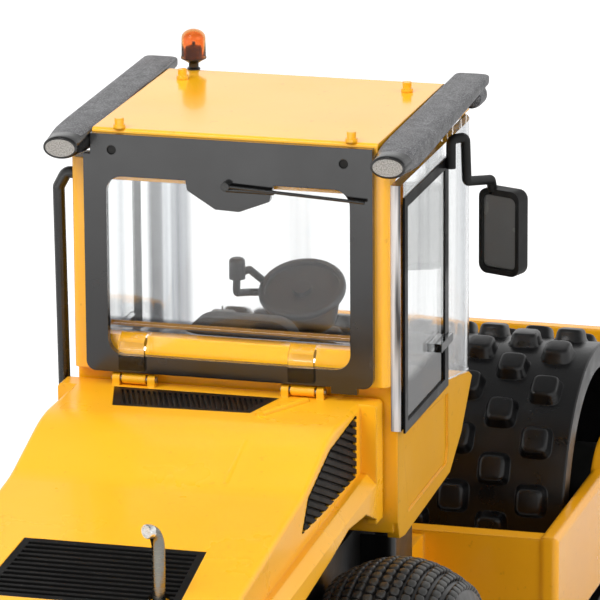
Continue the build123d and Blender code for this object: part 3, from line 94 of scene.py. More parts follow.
class Shade:
    """A node tree round one Principled shader, with object coordinates."""

    def __init__(self, name, colour, rough, metal=0.0, coat=0.0, coat_rough=0.05, specular=0.5,
                 transmission=0.0, ior=1.5):
        self.mat = bpy.data.materials.new(name)
        self.mat.use_nodes = True
        self.nodes, self.links = self.mat.node_tree.nodes, self.mat.node_tree.links
        self.nodes.clear()
        self.out = self.nodes.new("ShaderNodeOutputMaterial")
        self.shader = self.nodes.new("ShaderNodeBsdfPrincipled")
        self.links.new(self.shader.outputs[0], self.out.inputs[0])
        self.coords = self.nodes.new("ShaderNodeTexCoord").outputs["Object"]
        sockets = self.shader.inputs
        sockets["Base Color"].default_value = colour
        sockets["Roughness"].default_value = rough
        sockets["Metallic"].default_value = metal
        sockets["Coat Weight"].default_value = coat
        sockets["Coat Roughness"].default_value = coat_rough
        sockets["Specular IOR Level"].default_value = specular
        sockets["Transmission Weight"].default_value = transmission
        sockets["IOR"].default_value = ior

    def noise(self, scale, detail=3.0, rough=0.5, stretch=None):
        tex = self.nodes.new("ShaderNodeTexNoise")
        tex.inputs["Scale"].default_value = scale
        tex.inputs["Detail"].default_value = detail
        tex.inputs["Roughness"].default_value = rough
        source = self.coords
        if stretch:
            mapping = self.nodes.new("ShaderNodeMapping")
            mapping.inputs["Scale"].default_value = stretch
            self.links.new(self.coords, mapping.inputs["Vector"])
            source = mapping.outputs[0]
        self.links.new(source, tex.inputs["Vector"])
        return tex.outputs["Fac"]

    def ramp(self, value, low, high, start, end):
        """Map value from low..high onto start..end."""
        node = self.nodes.new("ShaderNodeMapRange")
        node.inputs["From Min"].default_value = low
        node.inputs["From Max"].default_value = high
        node.inputs["To Min"].default_value = start
        node.inputs["To Max"].default_value = end
        self.links.new(value, node.inputs["Value"])
        return node.outputs[0]

    def mix(self, value, first, second):
        node = self.nodes.new("ShaderNodeMix")
        node.data_type = "RGBA"
        self.links.new(value, node.inputs["Factor"])
        for socket, colour in ((node.inputs[6], first), (node.inputs[7], second)):
            if isinstance(colour, bpy.types.NodeSocket):
                self.links.new(colour, socket)
            else:
                socket.default_value = colour
        return node.outputs[2]

    def set(self, socket, value):
        self.links.new(value, self.shader.inputs[socket])

    def bump(self, *layers, edge=0.0):
        """Bump layers, each (height, distance in mm, strength), over edges eased by edge mm."""
        normal = None
        if edge:
            node = self.nodes.new("ShaderNodeBevel")
            node.samples = 4
            node.inputs["Radius"].default_value = edge * MM
            normal = node.outputs[0]
        for height, distance, strength in layers:
            node = self.nodes.new("ShaderNodeBump")
            node.inputs["Strength"].default_value = strength
            node.inputs["Distance"].default_value = distance * MM
            self.links.new(height, node.inputs["Height"])
            if normal:
                self.links.new(normal, node.inputs["Normal"])
            normal = node.outputs[0]
        self.links.new(normal, self.shader.inputs["Normal"])


def paint(name, colour, dark, rough=0.16, coat=0.4, specular=0.5, edge=0.22):
    """Sprayed gloss enamel: soft tone drift, faint orange peel and dust in places."""
    shade = Shade(name, colour, rough, coat=coat, coat_rough=0.04, specular=specular)
    drift = shade.ramp(shade.noise(45, 4), 0.35, 0.65, 0.0, 1.0)
    specks = shade.ramp(shade.noise(1400, 2), 0.68, 0.74, 0.0, 0.25)
    base = shade.mix(drift, colour, dark)
    shade.set("Base Color", shade.mix(specks, base, tuple(0.5 * c for c in dark[:3]) + (1.0,)))
    shade.set("Roughness", shade.ramp(shade.noise(120, 4), 0.3, 0.7, rough - 0.05, rough + 0.08))
    shade.bump((shade.noise(650, 2), 0.012, 0.3), (shade.noise(90, 2), 0.08, 0.1), edge=edge)
    return shade.mat


def moulded(name, colour, light, rough, grain=1500, depth=0.02, coat=0.0, metal=0.0,
            specular=0.5, coat_rough=0.12):
    """Moulded or sprayed plastic with fine grain and slight tone changes."""
    shade = Shade(name, colour, rough, metal=metal, coat=coat, coat_rough=coat_rough,
                  specular=specular)
    drift = shade.ramp(shade.noise(160, 5), 0.35, 0.7, 0.0, 1.0)
    shade.set("Base Color", shade.mix(drift, colour, light))
    shade.set("Roughness", shade.ramp(shade.noise(300, 4), 0.3, 0.7, rough - 0.07, rough + 0.1))
    shade.bump((shade.noise(grain, 3), depth, 0.5), edge=0.12)
    return shade.mat


yellow = paint("yellow_enamel", rgb(250, 182, 30), rgb(244, 172, 22))
# darker, duller yellow for the cab's side faces: the darker colour is painted shade
satin_painted_shade_yellow = paint("yellow_satin_painted_shade", rgb(214, 154, 22), rgb(206, 146, 16), rough=0.5, coat=0.0,
                     specular=0.1)
frame_yellow = paint("yellow_frame", rgb(246, 172, 26), rgb(240, 164, 18), rough=0.22, coat=0.3,
                     specular=0.4, edge=0.5)
hood_yellow = paint("yellow_hood", rgb(248, 180, 32), rgb(243, 172, 24), rough=0.3, coat=0.12,
                    specular=0.35)
wheel_yellow = paint("wheel_enamel", rgb(246, 176, 28), rgb(236, 164, 20), rough=0.3)
black_enamel = moulded("black_enamel", rgb(12, 12, 12), rgb(20, 20, 19), 0.34, coat=0.2)
black_plastic = moulded("black_plastic", rgb(14, 14, 14), rgb(24, 24, 23), 0.5, specular=0.3)
grille_black = moulded("grille_black", rgb(10, 10, 10), rgb(18, 17, 16), 0.6, specular=0.2)
black_gloss = moulded("black_gloss", rgb(10, 10, 10), rgb(16, 16, 16), 0.24, depth=0.008,
                      coat=0.4)
surround_black = moulded("surround_black", rgb(11, 11, 12), rgb(15, 15, 16), 0.2, depth=0.006,
                         coat=0.6, coat_rough=0.12, specular=0.5)
black_trim = moulded("black_trim", rgb(10, 10, 10), rgb(16, 16, 16), 0.32, depth=0.006,
                     specular=0.2)
cockpit_grey = moulded("cockpit_grey", rgb(44, 45, 47), rgb(56, 57, 59), 0.4)
seat_vinyl = moulded("seat_vinyl", rgb(22, 22, 23), rgb(32, 31, 31), 0.46, grain=2200)
engine_grey = moulded("engine_grey", rgb(84, 86, 88), rgb(104, 104, 104), 0.5, metal=0.4)
mirror_face = moulded("mirror_face", rgb(104, 105, 104), rgb(110, 111, 110), 0.26, depth=0.002,
                      coat=0.3)


def drum_material():
    """Satin black enamel over a cast surface, with faint pale rubbing on the pads."""
    shade = Shade("drum_enamel", rgb(10, 10, 11), 0.3, coat=0.15, coat_rough=0.2, specular=0.4)
    dust = shade.ramp(shade.noise(260, 6, 0.7), 0.58, 0.82, 0.0, 0.35)
    shade.set("Base Color", shade.mix(dust, rgb(10, 10, 11), rgb(48, 47, 46)))
    shade.set("Roughness", shade.ramp(shade.noise(400, 4), 0.3, 0.7, 0.24, 0.42))
    shade.bump((shade.noise(500, 4), 0.05, 0.5), (shade.noise(1800, 2), 0.02, 0.4), edge=0.15)
    return shade.mat


def tyre_material(name, colour, dusty):
    """Dull rubber with a soft sheen, paler where dust has settled."""
    shade = Shade(name, colour, 0.4, specular=0.8)
    dust = shade.ramp(shade.noise(300, 6, 0.65), 0.45, 0.75, 0.0, 0.7)
    shade.set("Base Color", shade.mix(dust, colour, dusty))
    shade.set("Roughness", shade.ramp(shade.noise(500, 4), 0.3, 0.7, 0.3, 0.5))
    shade.bump((shade.noise(900, 4), 0.03, 0.4))
    return shade.mat


def rail_material():
    """Dark grey casting with a fine sparkling skin."""
    shade = Shade("rail_casting", rgb(50, 50, 51), 0.42)
    spots = shade.ramp(shade.noise(6500, 2, 0.6), 0.46, 0.66, 0.0, 1.0)
    shade.set("Base Color", shade.mix(spots, rgb(62, 62, 64), rgb(122, 122, 124)))
    shade.set("Roughness", shade.ramp(shade.noise(700, 4), 0.3, 0.7, 0.34, 0.5))
    shade.bump((shade.noise(6500, 2, 0.6), 0.02, 0.6), (shade.noise(500, 3), 0.015, 0.2), edge=0.2)
    return shade.mat


def lamp_material():
    """Silver lens with a fine crushed grain."""
    shade = Shade("lamp_silver", rgb(190, 190, 188), 0.4, metal=0.4)
    grains = shade.noise(9000, 2, 0.6)
    shade.set("Base Color", shade.mix(shade.ramp(grains, 0.38, 0.6, 0.0, 1.0),
                                      rgb(126, 124, 120), rgb(172, 169, 164)))
    shade.bump((grains, 0.02, 0.5))
    return shade.mat


def steel_material(name, colour, rough):
    shade = Shade(name, colour, rough, metal=1.0)
    streaks = shade.noise(500, 3, stretch=(1.0, 1.0, 8.0))
    shade.set("Roughness", shade.ramp(streaks, 0.3, 0.7, rough - 0.08, rough + 0.14))
    shade.bump((streaks, 0.004, 0.3))
    return shade.mat


def edge_painted_reflection_material():
    """Edge of clear sheet drawn opaque grey, with dark lines of painted shade and white lines of
    painted reflection along it.
    """
    shade = Shade("edge_painted_reflection", rgb(150, 152, 156), 0.18, coat=0.4)
    lines = shade.noise(1500, 2, stretch=(1.0, 1.0, 0.04))
    shade.set("Base Color", shade.mix(shade.ramp(lines, 0.42, 0.6, 0.0, 1.0),
                                      rgb(52, 54, 58), rgb(214, 216, 220)))
    shade.bump((lines, 0.03, 0.5))
    return shade.mat


def clear_shade(name, colour, rough=0.02, ior=1.45, wave=0.25):
    """Moulded clear plastic: faint waviness and a trace of haze; light passes to the inside."""
    shade = Shade(name, colour, rough, transmission=1.0, ior=ior)
    shade.bump((shade.noise(70, 2), wave, 0.15))
    shade.set("Roughness", shade.ramp(shade.noise(400, 4), 0.5, 0.8, rough, rough + 0.05))
    path = shade.nodes.new("ShaderNodeLightPath")
    clear = shade.nodes.new("ShaderNodeBsdfTransparent")
    clear.inputs[0].default_value = colour
    blend = shade.nodes.new("ShaderNodeMixShader")
    shade.links.new(path.outputs["Is Shadow Ray"], blend.inputs[0])
    shade.links.new(shade.shader.outputs[0], blend.inputs[1])
    shade.links.new(clear.outputs[0], blend.inputs[2])
    shade.links.new(blend.outputs[0], shade.out.inputs[0])
    return shade


def clear_with_painted_bands(name, bands, streak=0.0):
    """Clear plastic with bands of painted shade, and grey vertical streaks of painted reflection when
    streak is set: each band is (limits, colour), a limit (axis, low, high, soft) in mm.
    """
    shade = clear_shade(name, CLEAR)
    parts = shade.nodes.new("ShaderNodeSeparateXYZ")
    shade.links.new(shade.coords, parts.inputs[0])
    result = CLEAR
    # grey vertical streaks: painted reflections
    if streak:
        lines = shade.noise(420, 3, stretch=(1.0, 1.0, 0.03))
        result = shade.mix(shade.ramp(lines, 0.5, 0.72, 0.0, streak), result,
                           (0.36, 0.37, 0.39, 1.0))
    for limits, band_colour in bands:
        mask = None
        for axis, low, high, soft in limits:
            for edge, sign in ((low, 1.0), (high, -1.0)):
                step = shade.ramp(parts.outputs[axis], (edge - soft * sign) * MM,
                                  (edge + soft * sign) * MM, 0.0, 1.0)
                if mask is None:
                    mask = step
                    continue
                node = shade.nodes.new("ShaderNodeMath")
                node.operation = "MULTIPLY"
                shade.links.new(mask, node.inputs[0])
                shade.links.new(step, node.inputs[1])
                mask = node.outputs[0]
        result = shade.mix(mask, result, band_colour)
    shade.set("Base Color", result)
    return shade.mat


# dark and faint bands in the clear parts: painted shade
painted_shade_dark = (0.06, 0.063, 0.07, 1.0)
faint = (0.58, 0.60, 0.62, 1.0)
clear_plastic = clear_shade("clear_plastic", CLEAR).mat
# grey band along the clear rail at the rear glass's foot: painted shade
pane_rail_painted_shade = (0.30, 0.30, 0.31, 1.0)
# grey band at the screen's left front: painted shade
screen_painted_shade_grey = (0.24, 0.25, 0.27, 1.0)
# dark band over the side panes' lower part, where the inside lies in shade: painted shade
painted_shade_foot = (0.03, 0.03, 0.03, 1.0)
pane = clear_with_painted_bands("clear_pane", [(((Z, 45.1, 46.5, 0.15),), pane_rail_painted_shade)])
screen = clear_with_painted_bands("clear_screen", [
    (((X, -16.0, -14.0, 0.1), (Y, 6.4, 10.3, 0.4)), painted_shade_dark),
    (((X, -16.0, -13.0, 0.3), (Y, 10.6, 13.0, 0.4)), faint),
    (((X, -16.0, -12.5, 0.3), (Y, 13.2, 14.6, 0.3)), screen_painted_shade_grey),
    (((X, 14.0, 16.0, 0.1), (Y, 9.0, 12.0, 1.0)), faint)], streak=0.45)
side_panes = clear_with_painted_bands("clear_side", [
    (((X, -16.0, -14.0, 0.1), (Y, -3.4, -1.6, 0.3)), faint),
    (((Z, 36.0, 41.3, 0.5),), painted_shade_foot)], streak=0.5)
amber = clear_shade("amber_lens", rgb(244, 164, 92), rough=0.1, ior=1.4).mat
red_lens = clear_shade("red_lens", rgb(200, 24, 16), rough=0.15, ior=1.4).mat
steel = steel_material("steel", rgb(176, 176, 174), 0.3)
bright_trim = steel_material("bright_trim", rgb(140, 138, 130), 0.2)
# paler steel for the exhaust's mouth: painted highlight
polished = steel_material("polished", rgb(236, 236, 232), 0.22)
# grey edge for the side panes with painted reflections and shade
edge_painted_reflection = edge_painted_reflection_material()
tyre_rubber = tyre_material("tyre_rubber", rgb(20, 19, 18), rgb(58, 54, 49))
# paler rubber for the tyre blocks' tops: painted highlight
painted_highlight_rubber = tyre_material("painted_highlight_rubber", rgb(36, 36, 34), rgb(78, 78, 73))
drum_enamel = drum_material()
rail_casting = rail_material()
lamp_silver = lamp_material()

by_slot = {
    "yellow_paint": yellow, "black_paint": black_enamel, "drum_black": drum_enamel,
    "rim_paint": wheel_yellow, "tyre_rubber": tyre_rubber, "steel": steel,
    "engine_grey": engine_grey, "black_plastic": black_plastic, "charcoal_plastic": surround_black,
    "rail_grey": rail_casting, "seat_black": seat_vinyl, "black_gloss": black_gloss,
    "clear_glass": clear_plastic, "lamp_silver": lamp_silver, "amber": amber, "mirror": mirror_face,
    "chrome_trim": bright_trim, "red_lamp": red_lens,
}
by_node = {
    "rear_window_glass": pane, "windscreen": screen, "side_windows": side_panes,
    "hood_side_grilles": grille_black, "hood": hood_yellow, "front_frame": frame_yellow,
    "door_frames": black_trim, "steering_wheel": cockpit_grey,
    "travel_lever": cockpit_grey, "steering_column": cockpit_grey,
    "hood_rear_grille": grille_black, "radiator": grille_black,
}
for entry in frame["record"]["subparts"]:
    node = frame["nodes"][entry["node"]]
    for slot in node.material_slots:
        slot.material = by_node.get(entry["node"], by_slot[entry["material_slot"]])


# ---------------------------------------------------------------- pieces
def place_piece(data, name, body, node):
    """A piece with this mesh that rides on a body in place of the node."""
    piece = bpy.data.objects.new(name, data)
    scene.collection.objects.link(piece)
    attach(piece, body)
    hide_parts(node)


def add_finish(data, extra, wanted):
    """Give the faces that meet wanted(normal, centre in mm) another finish."""
    data.materials.append(extra)
    for face in data.polygons:
        if wanted(face.normal, face.center / MM):
            face.material_index = len(data.materials) - 1


def piece_from(mesh, name, material, body, node, smooth=35):
    """Turn a bmesh into a piece that rides on a body in place of the node."""
    bmesh.ops.recalc_face_normals(mesh, faces=mesh.faces)
    data = bpy.data.meshes.new(name)
    mesh.to_mesh(data)
    mesh.free()
    for face in data.polygons:
        face.use_smooth = True
    data.set_sharp_from_angle(angle=radians(smooth))
    data.materials.append(material)
    place_piece(data, name, body, node)
    return data


def skin(mesh, loops):
    """Closed tube through the loops of vertices, capped at both ends."""
    count = len(loops[0])
    for near, far in zip(loops, loops[1:]):
        for i in range(count):
            j = (i + 1) % count
            mesh.faces.new((near[i], near[j], far[j], far[i]))
    mesh.faces.new(loops[-1])
    mesh.faces.new(tuple(reversed(loops[0])))


def ring_solid(mesh, profile, centre, steps):
    """Closed solid of revolution round an axis along X; profile is (x, radius) in mm."""
    rings = []
    for step in range(steps):
        turn = 2 * pi * step / steps
        rings.append([mesh.verts.new(((centre[0] + x) * MM, (centre[1] + r * sin(turn)) * MM,
                                      (centre[2] - r * cos(turn)) * MM)) for x, r in profile])
    count = len(profile)
    for step in range(steps):
        near, far = rings[step], rings[(step + 1) % steps]
        for i in range(count):
            j = (i + 1) % count
            mesh.faces.new((near[i], near[j], far[j], far[i]))


def add_block(mesh, origin, u, v, n, outline, rings):
    """Closed rounded block standing along n; rings are (lift, half along u, half along v) in mm."""
    loops = [[mesh.verts.new((origin + u * (wide * a) + v * (deep * b) + n * lift) * MM)
              for a, b in outline] for lift, wide, deep in rings]
    skin(mesh, loops)


def section(half_wide, half_high, square, count=40):
    """Superellipse outline in mm; square 2 is an ellipse, more is nearer a rectangle."""
    points = []
    for i in range(count):
        turn = 2 * pi * (i + 0.5) / count
        a, b = cos(turn), sin(turn)
        points.append((half_wide * abs(a) ** (2 / square) * (1 if a > 0 else -1),
                       half_high * abs(b) ** (2 / square) * (1 if b > 0 else -1)))
    return points


def build_drum():
    """Drum shell with staggered rows of pads whose edges are worn round."""
    radius, half, wall, pad_height, chamfer = 14.6, 20.8, 2.3, 1.2, 0.15
    rows, per_row, base, land = 10, 16, 3.0, 1.75
    centre = Vector((0.0, 41.5, radius + pad_height))
    mesh = bmesh.new()
    ring_solid(mesh, [(-half, radius - wall), (-half, radius - chamfer), (-half + chamfer, radius),
                      (half - chamfer, radius), (half, radius - chamfer), (half, radius - wall)],
               centre, 160)
    outline = section(1, 1, 4, count=20)
    pitch = (2 * half - base - 2 * land) / (rows - 1)
    # lift from the pad's top, half widths
    rings = [(-1.6, 1.62, 1.62), (-1.22, 1.62, 1.62), (-0.98, 1.46, 1.46), (-0.4, 1.34, 1.34),
             (-0.17, 1.25, 1.25), (-0.05, 1.12, 1.12), (0.0, 0.92, 0.92)]
    for row in range(rows):
        for pad in range(per_row):
            turn = 2 * pi / per_row * (pad + 0.5 * (row % 2))
            out = Vector((0.0, sin(turn), -cos(turn)))
            round_way = Vector((0.0, cos(turn), sin(turn)))
            place = ACROSS * ((row - (rows - 1) / 2) * pitch) + out * (radius + pad_height)
            add_block(mesh, centre + place, ACROSS, round_way, out, outline, rings)
    piece_from(mesh, "drum_pads", drum_enamel, "drum", "drum_shell", smooth=42)


def build_tyre(side_name, side):
    """Crowned carcass carrying staggered rows of small rounded blocks."""
    width, radius, crown, rim = 12.6, 13.8, 2.1, 7.4
    half, reach, depth = width / 2, width / 2 - 0.5, 0.5
    rows, blocks, row_step = 11, 72, 1.12

    def crown_at(x):
        return radius - crown * (x / reach) ** 2

    mesh = bmesh.new()
    centre = Vector((side * 16.5, -21.0, radius))
    edge = [(-half + 0.5, rim), (-half, rim + 1.6), (-half, radius - crown - 1.5),
            (-half + 0.35, radius - crown - 0.6)]
    top = [(x, crown_at(x) - depth) for x in (-5.4, -4.0, -2.6, -1.3, 0.0, 1.3, 2.6, 4.0, 5.4)]
    profile = edge + top + [(-x, r) for x, r in reversed(edge)]
    ring_solid(mesh, profile, centre, 96)
    outline = ((-1, -0.55), (-0.55, -1), (0.55, -1), (1, -0.55),
               (1, 0.55), (0.55, 1), (-0.55, 1), (-1, 0.55))
    rings = [(lift, 0.47 * grow, 0.53 * grow) for lift, grow in
             ((-depth - 0.3, 1.0), (-0.16, 0.94), (-0.03, 0.8), (0.0, 0.6))]
    for row in range(rows):
        x = (row - (rows - 1) / 2) * row_step
        slope = -2 * crown * x / reach ** 2
        across = Vector((1.0, slope)).normalized()
        for block in range(blocks):
            turn = 2 * pi / blocks * (block + 0.5 * (row % 2))
            out = Vector((0.0, sin(turn), -cos(turn)))
            round_way = Vector((0.0, cos(turn), sin(turn)))
            u = ACROSS * across.x + out * across.y
            n = out * across.x - ACROSS * across.y
            origin = centre + ACROSS * x + out * (crown_at(x) - 0.03)
            add_block(mesh, origin, u, round_way, n, outline, rings)
    data = piece_from(mesh, "tyre_tread_" + side_name, tyre_rubber, "rear_wheels",
                      "rear_tyre_" + side_name, smooth=50)

    def on_top(normal, at):
        spot = at - centre
        return crown_at(spot.x) - hypot(spot.y, spot.z) < 0.05

    # the blocks' tops get paler rubber: painted highlight
    add_finish(data, painted_highlight_rubber, on_top)


def build_rail(side_name, side):
    """Roof rail that swells smoothly into a drum-like nose round its rear lamp."""
    low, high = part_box("roof_rail_" + side_name)
    rear_y, front_y, top_z = low[1] / MM, high[1] / MM, high[2] / MM
    middle_x = (low[0] + high[0]) / 2 / MM
    rise, nose = 0.95, 2.4
    end_z = top_z - 0.55
    start_z = end_z - rise
    length = front_y - rear_y
    # distance from the rear, half width, half height, squareness
    stations = ((0.3, 1.34, 0.78, 2), (0.04, 1.34, 0.78, 2), (0.0, 1.38, 0.82, 2),
                (0.0, 1.48, 0.90, 2), (0.07, 1.58, 0.99, 2), (0.3, 1.64, 1.04, 2),
                (1.0, 1.68, 1.05, 2.1), (1.9, 1.74, 1.05, 2.5), (2.9, 1.80, 1.05, 3.2),
                (4.4, 1.85, 1.05, 4.2), (7.0, 1.84, 1.01, 5.0),
                (length - 0.5, 1.65, 0.56, 5.0), (length - 0.12, 1.61, 0.50, 5.0),
                (length, 1.46, 0.36, 5.0))
    mesh = bmesh.new()
    loops = []
    for way, half_wide, half_high, square in stations:
        middle_z = start_z + rise * max(0.0, way - nose) / (length - nose)
        loops.append([mesh.verts.new(((middle_x + x) * MM, (rear_y + way) * MM,
                                      (middle_z + z) * MM))
                      for x, z in section(half_wide, half_high, square)])
    skin(mesh, loops)
    # housing of the front lamp under the rail's end
    add_block(mesh, Vector((middle_x + side * 0.4, front_y - 0.1, end_z - 1.4)), ACROSS, UP, ALONG,
              section(1, 1, 2),
              ((-2.4, 0.7, 0.7), (-2.2, 0.95, 0.95), (-1.6, 1.05, 1.05), (-0.15, 1.05, 1.05),
               (0.0, 0.92, 0.92)))
    data = piece_from(mesh, "rail_" + side_name, rail_casting, "rear_frame",
                      "roof_rail_" + side_name, smooth=40)

    def cap_and_painted_shade(normal, at):
        inner = normal.x * -side > 0.55 and at.z < end_z + 0.2
        return at.y - rear_y < 1.6 or inner or normal.z < -0.6

    # black cap round the lamp, the rail's own colour; the inner and under sides are black as painted
    # shade
    add_finish(data, black_gloss, cap_and_painted_shade)


def lathe(mesh, profile, centre, steps):
    """Solid of revolution round a vertical axis; profile is (radius, z) in mm, ends on the axis."""
    rings = []
    for r, z in profile:
        turns = [0.0] if r == 0 else [2 * pi * step / steps for step in range(steps)]
        rings.append([mesh.verts.new(((centre[0] + r * cos(turn)) * MM,
                                      (centre[1] + r * sin(turn)) * MM,
                                      (centre[2] + z) * MM)) for turn in turns])
    for near, far in zip(rings, rings[1:]):
        for i in range(steps):
            corners = [near[i % len(near)], near[(i + 1) % len(near)],
                       far[(i + 1) % len(far)], far[i % len(far)]]
            mesh.faces.new([c for k, c in enumerate(corners) if c not in corners[:k]])


def build_beacon():
    """Amber dome on a black cup and stem, with the lamp's dark core inside."""
    low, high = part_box("beacon_lens")
    centre = ((low[0] + high[0]) / 2 / MM, (low[1] + high[1]) / 2 / MM,
              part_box("beacon_base")[0][2] / MM)

    def cap(radius, foot_z, height, steps):
        """Quarter ellipse from the axis down to the dome's wall."""
        quarter = [pi / 2 * i / steps for i in range(1, steps + 1)]
        return [(0, foot_z + height)] + [(radius * sin(turn), foot_z + height * cos(turn))
                                         for turn in quarter]

    dome, hollow = cap(1.12, 3.0, 0.84, 10), cap(0.94, 2.95, 0.66, 8)
    mesh = bmesh.new()
    lathe(mesh, dome + [(1.14, 1.3), (1.19, 1.22), (1.19, 1.12), (0.96, 1.12)] + hollow[::-1],
          centre, 48)
    piece_from(mesh, "beacon_dome", amber, "rear_frame", "beacon_lens", smooth=60)
    mesh = bmesh.new()
    lathe(mesh, [(0, 0.0), (0.62, 0.0), (0.62, 0.12), (0.46, 0.24), (0.46, 0.6), (0.62, 0.72),
                 (1.0, 0.96), (1.19, 1.06), (1.19, 1.12), (0.9, 1.13), (0.84, 1.2), (0.8, 2.0),
                 (0.72, 2.16), (0.3, 2.24), (0.18, 2.3), (0.14, 2.62), (0, 2.68)], centre, 48)
    piece_from(mesh, "beacon_stand", black_gloss, "rear_frame", "beacon_base",
               smooth=40)


def build_exhaust():
    """Pipe that bends over to the rear, with paler metal at the mouth as a painted highlight."""
    low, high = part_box("exhaust_pipe")
    way, across = Vector((-0.5, -0.866, 0)), Vector((0.866, -0.5, 0))
    x, y, radius, steps, sides = 5.0, -55.0, 0.56, 14, 28
    foot = Vector((x, y, low[2] / MM))
    mouth = Vector((x, y, high[2] / MM - 0.62)) + way * 1.25
    elbow = foot + UP * (mouth.z - foot.z - 2.0)
    hull = (elbow, elbow + UP * 1.4, mouth - way * 0.7, mouth)
    # each ring is its centre, the pipe's direction there and its radius
    rings = [(foot, UP, radius)]
    for i in range(steps + 1):
        t = i / steps
        weights = ((1 - t) ** 3, 3 * t * (1 - t) ** 2, 3 * t * t * (1 - t), t ** 3)
        slopes = ((hull[1] - hull[0]) * (1 - t) ** 2 + (hull[2] - hull[1]) * (2 * t * (1 - t))
                  + (hull[3] - hull[2]) * t * t)
        place = sum((h * w for h, w in zip(hull, weights)), Vector((0, 0, 0)))
        rings.append((place, slopes.normalized(), radius + 0.06 * max(0.0, t - 0.7) / 0.3))
    rings += [(mouth + way * depth, way, r) for depth, r in
              ((0.08, 0.62), (0.14, 0.57), (0.14, 0.49), (0.06, 0.46), (0.05, 0.2))]
    mesh = bmesh.new()
    loops = []
    for place, along, r in rings:
        other = along.cross(across)
        turns = [2 * pi * i / sides for i in range(sides)]
        loops.append([mesh.verts.new((place + (across * cos(turn) + other * sin(turn)) * r) * MM)
                      for turn in turns])
    skin(mesh, loops)
    data = piece_from(mesh, "exhaust", bright_trim, "hood", "exhaust_pipe", smooth=50)
    # paler metal round the mouth: painted highlight
    add_finish(data, polished, lambda normal, at: (at - mouth).length < 0.75)


def dress(node, name, body, extra, wanted):
    """A copy of the node with another finish on some faces, as in add_finish."""
    data = frame["nodes"][node].data.copy()
    add_finish(data, extra, wanted)
    place_piece(data, name, body, node)


build_drum()
for tyre_side in (("left", -1), ("right", 1)):
    build_tyre(*tyre_side)
# duller copy of the paint on the cab's lower side panels; its darker colour is painted shade
dress("cab_shell", "cab_body", "rear_frame", satin_painted_shade_yellow,
      lambda normal, at: abs(normal.x) > 0.8 and at.z < 40)
# rear edges of the side panes, drawn grey with painted reflections and shade
dress("side_windows", "side_panes", "rear_frame", edge_painted_reflection,
      lambda normal, at: normal.y < -0.8)
# clear door handles
dress("door_frames", "door_trim", "rear_frame", clear_plastic,
      lambda normal, at: 41.3 < at.z < 42.3 and -1.5 < at.y < 3.1)
build_exhaust()
for rail_side in (("left", -1), ("right", 1)):
    build_rail(*rail_side)
build_beacon()


# ---------------------------------------------------------------- studio
def seen_rays(nodes, links):
    """Light Path node, and a value of 1 where the camera sees straight or through clear parts."""
    path = nodes.new("ShaderNodeLightPath")
    seen = nodes.new("ShaderNodeMath")
    seen.operation = "MAXIMUM"
    links.new(path.outputs["Is Camera Ray"], seen.inputs[0])
    links.new(path.outputs["Is Transmission Ray"], seen.inputs[1])
    return path, seen.outputs[0]


def way_ramp(nodes, links, coordinate, axis, low, high, start, end):
    """Map one texture coordinate from low..high onto start..end."""
    way = nodes.new("ShaderNodeSeparateXYZ")
    links.new(nodes.new("ShaderNodeTexCoord").outputs[coordinate], way.inputs[0])
    ramp = nodes.new("ShaderNodeMapRange")
    for socket, value in (("From Min", low), ("From Max", high), ("To Min", start), ("To Max", end)):
        ramp.inputs[socket].default_value = value
    links.new(way.outputs[axis], ramp.inputs["Value"])
    return ramp.outputs[0]


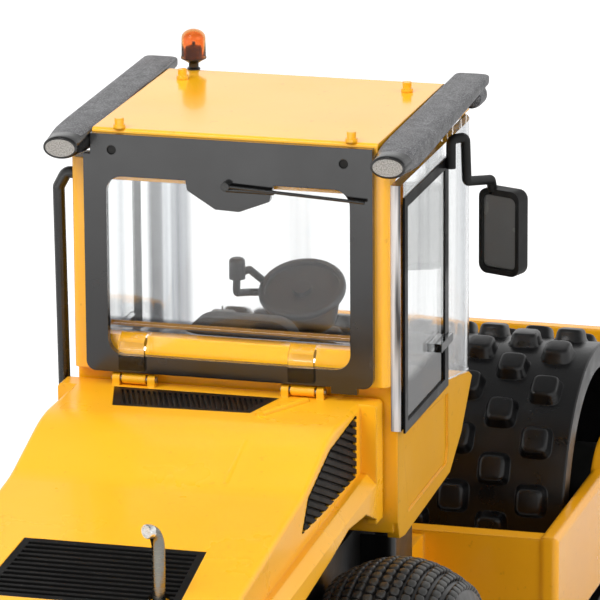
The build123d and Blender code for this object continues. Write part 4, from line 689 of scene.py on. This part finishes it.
def build_floor():
    """Pale floor that is white to the camera and keeps the object's shadow."""
    bpy.ops.mesh.primitive_plane_add(size=6.0, location=(0.0, 0.0, 0.0))
    floor = bpy.context.object
    floor.name = "floor"
    mat = bpy.data.materials.new("floor")
    mat.use_nodes = True
    nodes, links = mat.node_tree.nodes, mat.node_tree.links
    shader = nodes["Principled BSDF"]
    shader.inputs["Base Color"].default_value = (0.62, 0.62, 0.62, 1.0)
    shader.inputs["Roughness"].default_value = 0.9
    shader.inputs["Specular IOR Level"].default_value = 0.1
    glow = nodes.new("ShaderNodeEmission")
    glow.inputs["Color"].default_value = WHITE
    path, seen = seen_rays(nodes, links)
    level = nodes.new("ShaderNodeMath")
    level.operation = "MULTIPLY"
    level.inputs[1].default_value = 0.5
    links.new(seen, level.inputs[0])
    # the backdrop behind the camera rises into the light: only reflections see it
    sweep = way_ramp(nodes, links, "Object", "Y", -0.185, -0.235, 0.0, 0.9)
    mirrored = nodes.new("ShaderNodeMath")
    mirrored.operation = "MULTIPLY_ADD"
    links.new(sweep, mirrored.inputs[0])
    links.new(path.outputs["Is Glossy Ray"], mirrored.inputs[1])
    links.new(level.outputs[0], mirrored.inputs[2])
    links.new(mirrored.outputs[0], glow.inputs["Strength"])
    both = nodes.new("ShaderNodeAddShader")
    links.new(shader.outputs[0], both.inputs[0])
    links.new(glow.outputs[0], both.inputs[1])
    links.new(both.outputs[0], nodes["Material Output"].inputs[0])
    floor.data.materials.append(mat)


def build_world():
    """Soft even light; white to the camera and through clear parts."""
    world = bpy.data.worlds.new("studio")
    scene.world = world
    world.use_nodes = True
    nodes, links = world.node_tree.nodes, world.node_tree.links
    nodes.clear()
    out = nodes.new("ShaderNodeOutputWorld")
    soft, white = nodes.new("ShaderNodeBackground"), nodes.new("ShaderNodeBackground")
    for background in (soft, white):
        background.inputs["Color"].default_value = WHITE
        background.inputs["Strength"].default_value = 1.0
    path, seen = seen_rays(nodes, links)
    # mirror-like reflections meet a bright wall low down and a dimmer ceiling
    ceiling = way_ramp(nodes, links, "Generated", "Z", 0.36, 0.75, 1.0, 0.3)
    gloss = nodes.new("ShaderNodeMapRange")
    gloss.inputs["To Min"].default_value = 0.56
    links.new(ceiling, gloss.inputs["To Max"])
    links.new(path.outputs["Is Glossy Ray"], gloss.inputs["Value"])
    links.new(gloss.outputs[0], soft.inputs["Strength"])
    mix = nodes.new("ShaderNodeMixShader")
    links.new(seen, mix.inputs[0])
    links.new(soft.outputs[0], mix.inputs[1])
    links.new(white.outputs[0], mix.inputs[2])
    links.new(mix.outputs[0], out.inputs[0])


def lamp(name, place, target, size, watts, shine=False):
    """Round soft lamp aimed at the target; shine says whether reflections show it."""
    data = bpy.data.lights.new(name, "AREA")
    data.shape = "DISK"
    data.size = size
    data.energy = watts
    light = bpy.data.objects.new(name, data)
    light.location = place
    light.visible_glossy = shine
    light.rotation_euler = (Vector(target) - Vector(place)).to_track_quat("-Z", "Y").to_euler()
    scene.collection.objects.link(light)


build_floor()
build_world()
lamp("key", (-0.30, -0.55, 0.60), (0.0, -0.01, 0.03), 0.55, 4.9)
lamp("glint", (-0.20, -0.42, 0.62), (0.0, -0.01, 0.03), 0.14, 0.35, shine=True)
lamp("top", (-0.15, 0.10, 0.80), (0.0, 0.0, 0.03), 0.5, 1.2)
lamp("side", (0.66, -0.14, 0.42), (0.0, 0.0, 0.03), 0.5, 2.7)
scene.view_settings.view_transform = "Standard"
